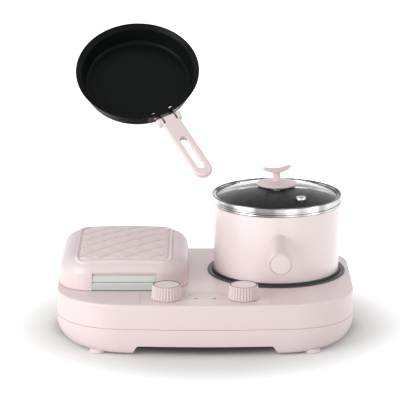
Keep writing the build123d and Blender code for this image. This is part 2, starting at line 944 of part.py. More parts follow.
def make_lid_grip_bar():
    """Fixed upper bar of the latch, seated on the back of the recess."""
    left = latch_left + latch_side_gap
    right = latch_right - latch_side_gap
    back = lid_front + latch_recess_depth
    low = lid_bottom + latch_split_height
    high = lid_bottom + latch_recess_height
    lean = latch_lip_depth / 2
    points = [
        (lid_front + latch_face_inset, low),
        (back, low),
        (back, high),
        (lid_front + latch_face_inset + lean, high),
    ]
    return prism_x(points, left, right)


def catch_tongue(grow):
    """Upright tongue of the latch catch, larger by grow."""
    middle = (latch_left + latch_right) / 2
    front = lid_front + latch_face_inset + latch_plate + nib_reach + catch_gap
    half = catch_width / 2 + grow
    return slab(
        middle - half, middle + half, front - grow, front + catch_thickness + grow,
        base_top - top_plate - catch_flange_thickness, base_top + catch_height + grow,
    )


def make_latch_catch():
    """Spring steel catch that stands through the top plate behind the latch flap."""
    middle = (latch_left + latch_right) / 2
    front = lid_front + latch_face_inset + latch_plate + nib_reach + catch_gap
    ceiling = base_top - top_plate
    flange = slab(
        middle - catch_width / 2 - catch_flange, middle + catch_width / 2 + catch_flange,
        front - catch_flange, front + catch_thickness + catch_flange / 2,
        ceiling - catch_flange_thickness, ceiling,
    )
    return catch_tongue(0) + flange


def hinge_ear_places():
    """Low X ends of the two hinge ears."""
    half = hinge_barrel_length / 2 + hinge_side_gap
    return [press_x - half - hinge_ear_width, press_x + half]


def make_hinge_bracket():
    """Bracket on the base with two ears that hold the hinge pin."""
    ears = hinge_ear_places()
    front = hinge_y - hinge_radius
    bracket = slab(
        ears[0], ears[1] + hinge_ear_width, front, front + hinge_foot_depth,
        base_top, base_top + hinge_foot_height
    )
    for left in ears:
        right = left + hinge_ear_width
        bracket = bracket + slab(left, right, front, hinge_y + hinge_radius, base_top, hinge_z)
        bracket = bracket + rod_x(left, right, hinge_y, hinge_z, hinge_radius)
    hole_radius = hinge_pin_radius + hinge_fit / 2
    return bracket - rod_x(ears[0], ears[1] + hinge_ear_width, hinge_y, hinge_z, hole_radius)


def make_hinge_pin():
    """Pin of the lid hinge."""
    ears = hinge_ear_places()
    return rod_x(
        ears[0] + hinge_pin_recess, ears[1] + hinge_ear_width - hinge_pin_recess,
        hinge_y, hinge_z, hinge_pin_radius
    )


def make_cord_gland():
    """Cord inlet in the back wall: a sleeve with a flange inside the wall."""
    inner_face = base_back - housing_wall
    outer_end = base_back - parting_gap
    inner_end = inner_face - gland_inside
    middle = (outer_end + inner_end) / 2
    turn = Rot(90, 0, 0)
    sleeve = Pos(gland_x, middle, gland_height) * turn * Cylinder(gland_radius, outer_end - inner_end)
    flange_back = inner_face - gland_flange_gap
    flange_place = Pos(gland_x, flange_back - gland_flange / 2, gland_height)
    sleeve = sleeve + flange_place * turn * Cylinder(gland_flange_radius, gland_flange)
    bore = Cylinder(gland_bore, 2 * gland_inside + outer_end - inner_end)
    return sleeve - Pos(gland_x, middle, gland_height) * turn * bore


def make_terminal_block():
    """Wiring block on the roof of the arch, inside the base."""
    low = arch_roof
    block = slab(
        block_x - block_width / 2, block_x + block_width / 2,
        block_y - block_depth / 2, block_y + block_depth / 2, low, low + block_height,
    )
    for index in range(block_ways):
        x = block_x + (index - (block_ways - 1) / 2) * block_width / block_ways
        block = block - disc(x, block_y, low + block_height / 2, low + block_height, block_hole_radius)
    return block


def pot_radius_at(z):
    """Outer radius of the pot's wall at a height."""
    share = (z - pot_bottom) / (pot_shell_top - pot_bottom)
    return pot_low_radius + share * (pot_top_radius - pot_low_radius)


def pot_solid(inset, low, high, floor_round):
    """Solid of revolution inside the pot's outer wall, drawn in by inset, with a round floor edge."""
    low_corner = (pot_radius_at(low) - inset, low)
    high_corner = (pot_radius_at(high) - inset, high)
    face = make_face(Polyline((0, low), low_corner, high_corner, (0, high), close=True))
    corner = face.vertices().group_by(Axis.Y)[0].sort_by(Axis.X)[-1]
    face = fillet(corner, floor_round)
    return Pos(pot_x, pot_y, 0) * revolve(Plane.XZ * face, Axis.Z)


def make_pot_shell():
    """Outer wall of the pot with a round foot and an opening for the base disc."""
    low = pot_bottom + pot_shell_raise
    shell = pot_solid(0, low, pot_shell_top, pot_bottom_round)
    hollow = pot_solid(
        pot_shell_wall, low + pot_shell_wall, pot_shell_top + 1, pot_bottom_round - pot_shell_wall
    )
    opening = disc(pot_x, pot_y, pot_bottom, low + pot_shell_wall, pot_disc_radius + pot_disc_clearance)
    return shell - hollow - opening - handle_screw_rod(screw_fit)


def make_pot_liner():
    """Steel inner bowl of the pot with its rolled rim."""
    inset = pot_shell_wall + liner_gap
    low = pot_bottom + pot_disc_thickness
    bowl = pot_solid(inset, low, pot_rim_top, liner_floor_round)
    lip_low = pot_rim_bottom
    lip = disc(pot_x, pot_y, lip_low, pot_rim_top, rim_outer_radius)
    lip = fillet(lip.edges(), rim_round)
    hollow = pot_solid(inset + liner_wall, low + liner_floor, pot_rim_top + 1, liner_floor_round - liner_wall)
    return bowl + lip - hollow


def make_pot_base_disc():
    """Heat spreader under the bowl."""
    spreader = disc(pot_x, pot_y, pot_bottom, pot_bottom + pot_disc_thickness, pot_disc_radius)
    return spreader


def handle_frame():
    """Plane at the flat end of the pot handle, facing outwards, and the length to its root."""
    end = Vector(handle_end_x, handle_end_y, handle_end_height)
    root = Vector(pot_x, handle_root_y, handle_root_height)
    outward = (end - root).normalized()
    return Plane(origin=end, x_dir=(1, 0, 0), z_dir=outward), (end - root).length


def make_pot_handle():
    """Stub handle that widens to a flat round end, seated on the pot's wall."""
    plane, length = handle_frame()
    cone = Pos(0, 0, -length / 2) * Cone(handle_root_radius, handle_end_radius, length)
    cone = fillet(cone.edges().group_by(Axis.Z)[-1], handle_end_round)
    cone = cone - disc(0, 0, -handle_cap_thickness, 0, handle_cap_radius + handle_cap_clearance)
    cone = cone - disc(0, 0, -length, -handle_cap_thickness * 2, handle_screw_radius + screw_fit)
    stub = plane * cone
    wall = pot_solid(0, pot_bottom, pot_shell_top, pot_bottom_round)
    return stub - wall


def make_pot_handle_cap():
    """Disc that closes the end of the pot handle."""
    plane = handle_frame()[0]
    cap = disc(0, 0, -handle_cap_thickness, 0, handle_cap_radius)
    return plane * cap


def handle_screw_rod(grow):
    """Rod from the inside face of the pot's outer wall into the handle, larger by grow."""
    plane, length = handle_frame()
    inner_y = pot_y - pot_radius_at(handle_root_height) + pot_shell_wall
    start = (handle_end_y - inner_y) * length / (handle_root_y - handle_end_y)
    return plane * disc(0, 0, start, start + handle_screw_length, handle_screw_radius + grow)


def make_pot_handle_screw():
    """Screw through the pot's outer wall into the handle."""
    return handle_screw_rod(0)


def make_lid_glass_rim():
    """Steel band round the glass lid."""
    low = pot_rim_top + lid_seat_gap
    step = low + band_step_height
    high = step + band_height
    glass_low = glass_edge_top - glass_thickness
    points = [
        (glass_radius - band_round, low),
        (band_radius - band_step, low),
        (band_radius - band_step, step),
        (band_radius, step),
        (band_radius, high - band_round),
        (band_radius - band_round, high),
        (glass_dome_reach, high),
        (glass_dome_reach, glass_edge_top),
        (glass_radius, glass_edge_top),
        (glass_radius, glass_low),
        (glass_radius - band_round, glass_low),
    ]
    return Pos(pot_x, pot_y, 0) * turned(points)


def glass_dome(drop, reach):
    """Top surface of the glass as a solid under it, lowered by drop and cut at reach."""
    ball = Pos(0, 0, glass_dome_centre) * Rot(90, 0, 0) * Sphere(glass_dome_radius - drop)
    return ball & disc(0, 0, glass_edge_top - glass_thickness - drop, glass_top + 1, reach)


def vent_frame():
    """Plane on the glass at the steam vent, square to the dome."""
    turn = math.radians(vent_angle)
    flat = Vector(math.cos(turn), math.sin(turn), 0)
    drop = math.sqrt(glass_dome_radius ** 2 - vent_reach ** 2)
    origin = flat * vent_reach + Vector(0, 0, glass_dome_centre + drop)
    outward = (origin - Vector(0, 0, glass_dome_centre)).normalized()
    return Plane(origin=origin + Vector(pot_x, pot_y, 0), z_dir=outward)


def make_lid_glass():
    """Domed glass with a flat edge, a screw hole and a vent hole."""
    dome = glass_dome(0, glass_dome_reach)
    edge_low = glass_edge_top - glass_thickness
    edge = disc(0, 0, edge_low, glass_edge_top, glass_radius - glass_edge_gap)
    under = Pos(0, 0, glass_dome_centre) * Rot(90, 0, 0) * Sphere(glass_dome_radius - glass_thickness)
    glass = dome + edge - under - disc(0, 0, 0, glass_top + 1, glass_hole_radius)
    glass = Pos(pot_x, pot_y, 0) * glass
    return glass - vent_frame() * Cylinder(vent_tube_radius + vent_fit, 4 * glass_thickness)


def make_steam_vent():
    """Steel eyelet through the glass."""
    low = -glass_thickness - vent_flange - vent_fit
    high = vent_flange + vent_fit
    points = [
        (vent_bore_radius, low),
        (vent_flange_radius, low),
        (vent_flange_radius, low + vent_flange),
        (vent_tube_radius, low + vent_flange),
        (vent_tube_radius, high - vent_flange),
        (vent_flange_radius, high - vent_flange),
        (vent_flange_radius - vent_flange / 2, high),
        (vent_bore_radius, high),
    ]
    return vent_frame() * turned(points)


def knob_disc_top():
    """Height of the middle of the knob's base disc."""
    return glass_top + knob_disc_gap + knob_disc_height


def make_lid_knob_disc():
    """Round base of the pot lid's knob, resting on the dome."""
    top = knob_disc_top()
    edge_low = glass_dome_centre + math.sqrt(glass_dome_radius ** 2 - knob_disc_radius ** 2) + knob_disc_gap
    edge = (knob_disc_radius, edge_low + knob_disc_edge)
    under_edge = (knob_disc_radius, edge_low)
    under_middle = (0, glass_top + knob_disc_gap)
    half = knob_disc_radius / 2
    under_half = (half, glass_dome_centre + math.sqrt(glass_dome_radius ** 2 - half ** 2) + knob_disc_gap)
    top_half = (half, (top + edge[1]) / 2 + knob_disc_edge / 3)
    outline = ThreePointArc(under_middle, under_half, under_edge) + Line(under_edge, edge)
    outline = outline + ThreePointArc(edge, top_half, (0, top)) + Line((0, top), under_middle)
    base = revolve(Plane.XZ * make_face(outline), Axis.Z)
    base = base - disc(0, 0, 0, top + 1, lid_screw_radius + 2 * lid_screw_fit)
    return Pos(pot_x, pot_y, 0) * base


def make_lid_knob():
    """Stem with a crescent grip that curves up at both ends."""
    low = knob_disc_top()
    high = low + stem_height
    stem = disc(0, 0, low, high + crescent_thickness / 2, stem_radius)
    half = crescent_length / 2
    outline = ThreePointArc((-half, high + crescent_sag), (0, high), (half, high + crescent_sag))
    inner = ThreePointArc(
        (-half, high + crescent_sag),
        (0, high + crescent_sag - crescent_tip_sag + 1),
        (half, high + crescent_sag)
    )
    side = make_face(outline + inner)
    grip = extrude(Plane.XZ * side, crescent_depth / 2, both=True)
    outline = RectangleRounded(crescent_length, crescent_depth, crescent_corner)
    plan = extrude(Pos(0, 0, low) * outline, far / 10)
    grip = grip & plan
    knob = stem + grip
    knob = knob - disc(0, 0, low, low + lid_screw_engagement, lid_screw_radius + lid_screw_fit)
    return Pos(pot_x, pot_y, 0) * Rot(0, 0, crescent_turn) * knob


def make_lid_knob_washer():
    """Soft washer between the screw head and the underside of the glass."""
    high = glass_top - glass_thickness - washer_gap
    washer = disc(pot_x, pot_y, high - washer_thickness, high, washer_radius)
    under = Pos(pot_x, pot_y, glass_dome_centre) * Rot(90, 0, 0) * Sphere(glass_dome_radius - glass_thickness)
    washer = washer & under
    return washer - disc(pot_x, pot_y, 0, high, lid_screw_radius + 2 * lid_screw_fit)


def make_lid_knob_screw():
    """Screw that holds the lid's knob from below."""
    head_top = glass_top - glass_thickness - washer_gap - washer_thickness
    head = disc(pot_x, pot_y, head_top - lid_screw_head, head_top, lid_screw_head_radius)
    shank = disc(pot_x, pot_y, head_top, knob_disc_top() + lid_screw_engagement, lid_screw_radius)
    return head + shank


def in_pan(shape):
    """Place a shape from the pan's own frame: rim centre at the origin, mouth facing +Z."""
    return Pos(pan_x, pan_y, pan_height) * Rot(pan_tilt, 0, 0) * shape


def at_handle(shape):
    """Place a shape whose +X points along the handle."""
    return in_pan(Rot(0, 0, pan_handle_turn - 90) * shape)


def pan_profile(wall):
    """Side outline of the pan's inside (wall nought) or outside, down from the rim."""
    step_radius = pan_rim_radius - pan_lip - pan_step_in
    shoulder = step_radius - pan_step_land
    return [
        (0, -pan_depth + pan_wall - wall),
        (pan_floor_radius - pan_wall + wall, -pan_depth + pan_wall - wall),
        (shoulder + wall, -pan_step_down - wall),
        (step_radius + wall / 2, -pan_step_down - wall / 2),
        (pan_rim_radius - pan_lip + wall / 2, -wall),
    ]


def pan_form(wall, top):
    """Solid under the pan's inside or outside surface, closed at height top."""
    points = pan_profile(wall)
    last = points[-1]
    points = points + [(last[0], top), (0, top)]
    face = make_face(Polyline(*points, close=True))
    corner = face.vertices().group_by(Axis.Y)[0].sort_by(Axis.X)[-1]
    face = fillet(corner, pan_floor_round + wall)
    return revolve(Plane.XZ * face, Axis.Z)


def make_pan_shell_local():
    """Pressed pan with a stepped rim, in its own frame."""
    rim = disc(0, 0, -pan_wall, 0, pan_rim_radius)
    rim = fillet(rim.edges(), pan_wall / 3)
    body = pan_form(pan_wall, -pan_wall / 2) + rim
    shell = body - pan_form(0, 1)
    return shell - Rot(0, 0, pan_handle_turn - 90) * rivet_rods(pan_rivet_radius + pan_pin_fit)


def rivet_rods(radius):
    """Two rods through the pan's wall, in the handle's frame."""
    level = -(pan_bracket_low + pan_bracket_high) / 2
    rods = []
    for side in (-1, 1):
        rod = Rot(0, 90, 0) * Cylinder(radius, pan_floor_radius / 3)
        rod = Pos(pan_floor_radius, side * pan_rivet_spread, level) * rod
        rods.append(rod)
    return rods[0] + rods[1]


def pan_bracket_local():
    """Steel bracket on the pan's wall with two tabs for the hinge pin, in the handle's frame."""
    outer = pan_form(pan_wall + pan_bracket_thickness, 1)
    inner = pan_form(pan_wall, 2)
    reach = pan_rim_radius * pan_bracket_wedge
    side = reach * math.tan(math.radians(pan_bracket_half_angle))
    wedge = make_face(Polyline((0, 0), (reach, -side), (reach, side), close=True))
    window = extrude(Pos(0, 0, -pan_bracket_low) * wedge, pan_bracket_low - pan_bracket_high)
    strap = (outer - inner) & window
    root = pan_floor_radius - pan_wall
    for side in (-1, 1):
        y = side * pan_tab_spread
        y_high = y + pan_tab_thickness / 2
        low_share = pan_tab_radius * pan_tab_low_share
        points = [
            (root, -pan_bracket_low),
            (pan_pivot_reach + low_share, -pan_pivot_drop - low_share),
            (pan_pivot_reach, -pan_pivot_drop + pan_tab_radius * pan_tab_high_share),
            (root, -pan_bracket_high),
        ]
        plane = Plane((0, y_high, 0), x_dir=(1, 0, 0), z_dir=(0, -1, 0))
        tab = extrude(plane * make_face(Polyline(*points, close=True)), pan_tab_thickness)
        turn = Rot(90, 0, 0)
        disc_tab = turn * Cylinder(pan_tab_radius, pan_tab_thickness)
        tab = tab + Pos(pan_pivot_reach, y, -pan_pivot_drop) * disc_tab
        strap = strap + (tab - inner)
    pin_hole = Pos(pan_pivot_reach, 0, -pan_pivot_drop) * Rot(90, 0, 0) * Cylinder(
        pan_pin_radius + pan_pin_fit / 2, pan_barrel_length
    )
    return strap - pin_hole - rivet_rods(pan_rivet_radius + pan_pin_fit)


def make_pan_shell():
    """The pan where the photograph shows it."""
    return in_pan(make_pan_shell_local())


def make_pan_bracket():
    """The bracket in place."""
    return at_handle(pan_bracket_local())


def make_pan_rivets():
    """Two rivets through the wall and the bracket."""
    shell = Rot(0, 0, 90 - pan_handle_turn) * make_pan_shell_local()
    bracket = pan_bracket_local()
    level = -(pan_bracket_low + pan_bracket_high) / 2
    depth_share = (pan_depth + level) / pan_depth
    wall_radius = pan_floor_radius + depth_share * pan_step_in
    rivets = []
    for side in (-1, 1):
        y = side * pan_rivet_spread
        reach = math.sqrt(wall_radius ** 2 - y ** 2)
        length = pan_wall + pan_bracket_thickness + 2 * pan_rivet_head_height
        inner = reach - pan_wall - 2 * pan_rivet_head_height
        shank = Rot(0, 90, 0) * Cylinder(pan_rivet_radius, length + pan_rivet_head_height)
        shank = Pos(inner + length / 2, y, level) * shank
        head_in = Pos(inner + pan_rivet_head_height / 2, y, level) * Rot(0, 90, 0) * Cylinder(
            pan_rivet_head, 2 * pan_rivet_head_height
        )
        rivet = shank + head_in - shell - bracket
        rivets.append(at_handle(largest(rivet)))
    return rivets


def largest(shape):
    """The biggest solid of a shape."""
    return shape.solids().sort_by(SortBy.VOLUME)[-1]


def make_pan_hinge_pin():
    """Pin that joins the folding handle to the bracket."""
    pin = Cylinder(pan_pin_radius, pan_barrel_length - 2 * pan_boss_round)
    return at_handle(Pos(pan_pivot_reach, 0, -pan_pivot_drop) * Rot(90, 0, 0) * pin)


def make_pan_handle():
    """Folding handle: a hinge barrel with a flat blade and a long window."""
    pivot = Pos(pan_pivot_reach, 0, -pan_pivot_drop) * Rot(90, 0, 0)
    barrel = Cylinder(pan_barrel_radius, pan_barrel_length)
    barrel = fillet(barrel.edges().filter_by(GeomType.CIRCLE), pan_boss_round)
    length = pan_blade_end - pan_pivot_reach
    level = -pan_pivot_drop - pan_blade_thickness / 2
    half = pan_blade_width / 2
    outline = Pos(pan_pivot_reach + (length - half) / 2, 0) * Rectangle(length - half, pan_blade_width)
    outline = outline + Pos(pan_blade_end - half, 0) * Circle(half)
    blade = extrude(Pos(0, 0, level) * outline, pan_blade_thickness)
    rims = blade.faces().filter_by(Axis.Z).edges()
    rims = rims.filter_by(lambda edge: edge.center().X > pan_pivot_reach + 1)
    blade = fillet(rims, pan_blade_edge)
    window_length = pan_window_end - pan_window_start
    window = SlotOverall(window_length, pan_window_width)
    window_place = Pos((pan_window_end + pan_window_start) / 2, 0, level)
    blade = blade - extrude(window_place * window, pan_blade_thickness)
    handle = blade + pivot * barrel
    for side in (-1, 1):
        cut = Pos(pan_pivot_reach, side * pan_tab_spread, -pan_pivot_drop) * Rot(90, 0, 0)
        handle = handle - cut * Cylinder(pan_slot_radius, pan_tab_thickness + 2 * pan_tab_gap)
    handle = handle - pivot * Cylinder(pan_pin_radius + pan_pin_fit, pan_barrel_length)
    return at_handle(handle)


def make_parts():
    """Every node of the assembly, by name."""
    return {
        "lower_housing": make_lower_housing(),
        "upper_housing": make_upper_housing(),
        "base_feet": make_base_feet(),
        "base_screws": make_base_screws(),
        "control_panel": make_control_panel(),
        "indicator_lenses": make_indicator_lenses(),
        "timer_unit": make_switch_unit(-knob_x),
        "heat_switch_unit": make_switch_unit(knob_x),
        "timer_knob": make_knob(-knob_x),
        "timer_knob_cap": make_knob_cap(-knob_x),
        "timer_shaft": make_knob_shaft(-knob_x),
        "heat_knob": make_knob(knob_x),
        "heat_knob_cap": make_knob_cap(knob_x),
        "heat_shaft": make_knob_shaft(knob_x),
        "heater_well": make_heater_well(),
        "hotplate": make_hotplate(),
        "hotplate_element": make_hotplate_element(),
        "hotplate_thermostat": make_hotplate_thermostat(),
        "lower_grill_tub": make_lower_grill_tub(),
        "lower_grill_plate": make_lower_grill_plate(),
        "lower_grill_element": make_lower_grill_element(),
        "lower_grill_thermostat": make_lower_grill_thermostat(),
        "lid_shell": make_lid_shell(),
        "lid_quilt_panel": make_lid_quilt_panel(),
        "lid_liner": make_lid_liner(),
        "upper_grill_plate": over_closing_plane(make_lower_grill_plate()),
        "upper_grill_element": over_closing_plane(make_lower_grill_element()),
        "lid_grip_bar": make_lid_grip_bar(),
        "latch_flap": make_latch_flap(),
        "latch_pin": make_latch_pin(),
        "latch_catch": make_latch_catch(),
        "hinge_bracket": make_hinge_bracket(),
        "hinge_pin": make_hinge_pin(),
        "cord_gland": make_cord_gland(),
        "terminal_block": make_terminal_block(),
        "pot_shell": make_pot_shell(),
        "pot_liner": make_pot_liner(),
        "pot_base_disc": make_pot_base_disc(),
        "pot_handle": make_pot_handle(),
        "pot_handle_cap": make_pot_handle_cap(),
        "pot_handle_screw": make_pot_handle_screw(),
        "lid_glass_rim": make_lid_glass_rim(),
        "lid_glass": make_lid_glass(),
        "steam_vent": make_steam_vent(),
        "lid_knob_disc": make_lid_knob_disc(),
        "lid_knob": make_lid_knob(),
        "lid_knob_washer": make_lid_knob_washer(),
        "lid_knob_screw": make_lid_knob_screw(),
        "pan_shell": make_pan_shell(),
        "pan_bracket": make_pan_bracket(),
        "pan_rivets": make_pan_rivets(),
        "pan_hinge_pin": make_pan_hinge_pin(),
        "pan_handle": make_pan_handle(),
    }


os.makedirs("parts", exist_ok=True)
for node, shape in make_parts().items():
    if isinstance(shape, list):
        shape = Compound(children=[piece.solid() for piece in shape])
    export_step(shape, f"parts/{node}.step")
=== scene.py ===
import json
import logging
import math
from dataclasses import dataclass, field
from enum import Enum
from typing import Optional

import bmesh
import bpy
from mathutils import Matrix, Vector
from mathutils.bvhtree import BVHTree


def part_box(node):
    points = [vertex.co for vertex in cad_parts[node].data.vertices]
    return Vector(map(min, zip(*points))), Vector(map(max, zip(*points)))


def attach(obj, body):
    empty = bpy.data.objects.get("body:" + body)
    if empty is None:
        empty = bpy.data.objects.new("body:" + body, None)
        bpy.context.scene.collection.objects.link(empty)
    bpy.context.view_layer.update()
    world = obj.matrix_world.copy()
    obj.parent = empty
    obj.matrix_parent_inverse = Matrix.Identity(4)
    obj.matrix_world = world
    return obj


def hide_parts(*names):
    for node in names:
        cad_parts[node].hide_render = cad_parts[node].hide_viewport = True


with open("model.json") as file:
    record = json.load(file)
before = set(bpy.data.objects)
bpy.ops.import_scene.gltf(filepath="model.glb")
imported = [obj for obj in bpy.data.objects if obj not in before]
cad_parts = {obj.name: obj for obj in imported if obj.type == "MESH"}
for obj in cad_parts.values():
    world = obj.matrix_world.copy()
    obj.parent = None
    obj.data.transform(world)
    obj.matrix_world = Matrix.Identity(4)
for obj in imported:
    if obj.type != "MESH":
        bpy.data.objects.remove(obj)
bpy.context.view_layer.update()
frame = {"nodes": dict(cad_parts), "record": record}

LOG = logging.getLogger("breakfast_maker")

Flat = tuple[float, float]
Point = tuple[float, float, float]
Colour = tuple[float, float, float]
Mesh = bmesh.types.BMesh
Ring = list[bmesh.types.BMVert]
Tree = bpy.types.NodeTree
Socket = bpy.types.NodeSocket

POT_AXIS: Flat = (0.0985, 0.033)
WHITE = (1.0, 1.0, 1.0, 1.0)


class Relief(Enum):
    """How the surface of a finish is broken up, with the scale of its pattern."""

    MOULDED = 700.0
    SPRAYED = 1600.0
    POLISHED = 60.0
    BRUSHED = 90.0


@dataclass
class Wiring:
    """Adds nodes to one shader tree and joins them."""

    tree: Tree

    def node(
        self, kind: str, inputs: Optional[dict[str | int, object]] = None, **settings: object
    ) -> bpy.types.ShaderNode:
        """Add a node.

        Args:
            kind: the node's type.
            inputs: what goes into its sockets, each a value or another node's output.
            settings: properties of the node itself, which are set first.

        Returns:
            The node.
        """
        made = self.tree.nodes.new(kind)
        for name, value in settings.items():
            setattr(made, name, value)
        for key, value in (inputs or {}).items():
            if isinstance(value, Socket):
                self.tree.links.new(value, made.inputs[key])
            else:
                made.inputs[key].default_value = value
        return made

    def math(self, operation: str, *values: object) -> Socket:
        """Add a sum or comparison of values and outputs, and return its result."""
        return self.node("ShaderNodeMath", dict(enumerate(values)), operation=operation).outputs[0]

    def place(self) -> Socket:
        """Return the place in the object's own space."""
        return self.node("ShaderNodeTexCoord").outputs["Object"]

    def noise(self, vector: Socket, scale: object, **settings: float) -> Socket:
        """Add a noise, its further sockets named in small letters, and return its level."""
        inputs = {name.capitalize(): value for name, value in settings.items()}
        inputs.update({"Vector": vector, "Scale": scale})
        return self.node("ShaderNodeTexNoise", inputs).outputs["Fac"]


@dataclass
class GroupWiring(Wiring):
    """Wiring of a shader group, with its sockets."""

    name: str = ""
    inputs: tuple[tuple[str, str, float], ...] = ()
    output: tuple[str, str] = ("Color", "Color")
    tree: Tree = field(init=False)
    start: bpy.types.NodeOutputs = field(init=False)

    def __post_init__(self) -> None:
        """Make the group and its named sockets."""
        self.tree = bpy.data.node_groups.new(self.name, "ShaderNodeTree")
        for label, kind, value in self.inputs:
            socket = self.tree.interface.new_socket(label, in_out="INPUT", socket_type=f"NodeSocket{kind}")
            if kind == "Float":
                socket.default_value = value
        label, kind = self.output
        self.tree.interface.new_socket(label, in_out="OUTPUT", socket_type=f"NodeSocket{kind}")
        self.start = self.node("NodeGroupInput").outputs

    def close(self, result: Socket) -> Tree:
        """Lead the result out of the group, and return the group's tree."""
        self.node("NodeGroupOutput", {self.output[0]: result})
        return self.tree


@dataclass
class Effects:
    """The shader groups that the finishes share, each built once."""

    tone: Tree = field(init=False)
    gloss: Tree = field(init=False)
    grain: Tree = field(init=False)
    strokes: Tree = field(init=False)
    painted_reflection: Tree = field(init=False)
    stroke_stretch: Point = (1.0, 1.0, 24.0)
    # Where the painted reflection bands pass from dark to light, and their two levels.
    streak_span: Flat = (0.36, 0.62)
    streak_levels: Flat = (0.25, 1.6)

    def __post_init__(self) -> None:
        """Build every group."""
        self.painted_reflection = self.build_painted_reflection()
        self.tone = self.build_tone()
        self.gloss = self.build_gloss()
        self.grain = self.build_grain()
        self.strokes = self.build_strokes()

    def build_tone(self) -> Tree:
        """Return the group that drifts a colour a little lighter and darker."""
        inputs = (("Color", "Color", 0.0), ("Scale", "Float", 12.0), ("Spread", "Float", 0.04))
        group = GroupWiring(name="tone drift", inputs=inputs)
        noise = group.noise(group.place(), group.start["Scale"], detail=3.0)
        centred = group.math("SUBTRACT", noise, 0.5)
        spread = group.math("MULTIPLY", centred, group.start["Spread"])
        level = group.math("ADD", spread, 1.0)
        shade = group.node("ShaderNodeHueSaturation", {"Value": level, "Color": group.start["Color"]})
        return group.close(shade.outputs["Color"])

    def build_gloss(self) -> Tree:
        """Return the group that breaks up a roughness with faint wipe marks."""
        inputs = (("Roughness", "Float", 0.3), ("Scale", "Float", 30.0), ("Spread", "Float", 0.1))
        group = GroupWiring(name="gloss drift", inputs=inputs, output=("Roughness", "Float"))
        noise = group.noise(group.place(), group.start["Scale"], detail=5.0, distortion=0.8)
        centred = group.math("SUBTRACT", noise, 0.5)
        level = group.math("MULTIPLY_ADD", centred, group.start["Spread"], group.start["Roughness"])
        return group.close(level)

    def build_grain(self) -> Tree:
        """Return the group that gives the height of a fine moulded or sprayed grain."""
        inputs = (("Scale", "Float", 900.0),)
        group = GroupWiring(name="fine grain", inputs=inputs, output=("Height", "Float"))
        return group.close(group.noise(group.place(), group.start["Scale"], detail=2.0))

    def build_painted_reflection(self) -> Tree:
        """Return the group that paints broad light and dark bands round the pot's axis, as a painted
        reflection.
        """
        inputs = (("Color", "Color", 0.0), ("Strength", "Float", 0.5), ("Scale", "Float", 2.3))
        group = GroupWiring(name="painted reflection", inputs=inputs)
        shift = (-POT_AXIS[0], -POT_AXIS[1], 0.0)
        centred = group.node("ShaderNodeMapping", {"Vector": group.place(), "Location": shift})
        inputs = {0: centred.outputs["Vector"], 1: (1.0, 1.0, 0.0)}
        flat = group.node("ShaderNodeVectorMath", inputs, operation="MULTIPLY")
        unit = group.node("ShaderNodeVectorMath", {0: flat.outputs["Vector"]}, operation="NORMALIZE")
        noise = group.noise(unit.outputs["Vector"], group.start["Scale"], detail=1.5, roughness=0.4)
        level = level_between(group, noise, self.streak_span, self.streak_levels)
        offset = group.math("SUBTRACT", level, 1.0)
        value = group.math("MULTIPLY_ADD", offset, group.start["Strength"], 1.0)
        shade = group.node("ShaderNodeHueSaturation", {"Value": value, "Color": group.start["Color"]})
        return group.close(shade.outputs["Color"])

    def build_strokes(self) -> Tree:
        """Return the group that gives brushed strokes: a noise drawn out along X and Y."""
        inputs = (("Scale", "Float", 60.0),)
        group = GroupWiring(name="brushed strokes", inputs=inputs, output=("Height", "Float"))
        stretched = group.node("ShaderNodeMapping", {"Vector": group.place(), "Scale": self.stroke_stretch})
        return group.close(group.noise(stretched.outputs["Vector"], group.start["Scale"], detail=4.0))


def level_between(wiring: Wiring, value: Socket, span: Flat, levels: Flat) -> Socket:
    """Lead a value softly from one level to another where it crosses the span."""
    inputs = {
        "Value": value, "From Min": span[0], "From Max": span[1], "To Min": levels[0], "To Max": levels[1],
    }
    return wiring.node("ShaderNodeMapRange", inputs, interpolation_type="SMOOTHSTEP").outputs["Result"]


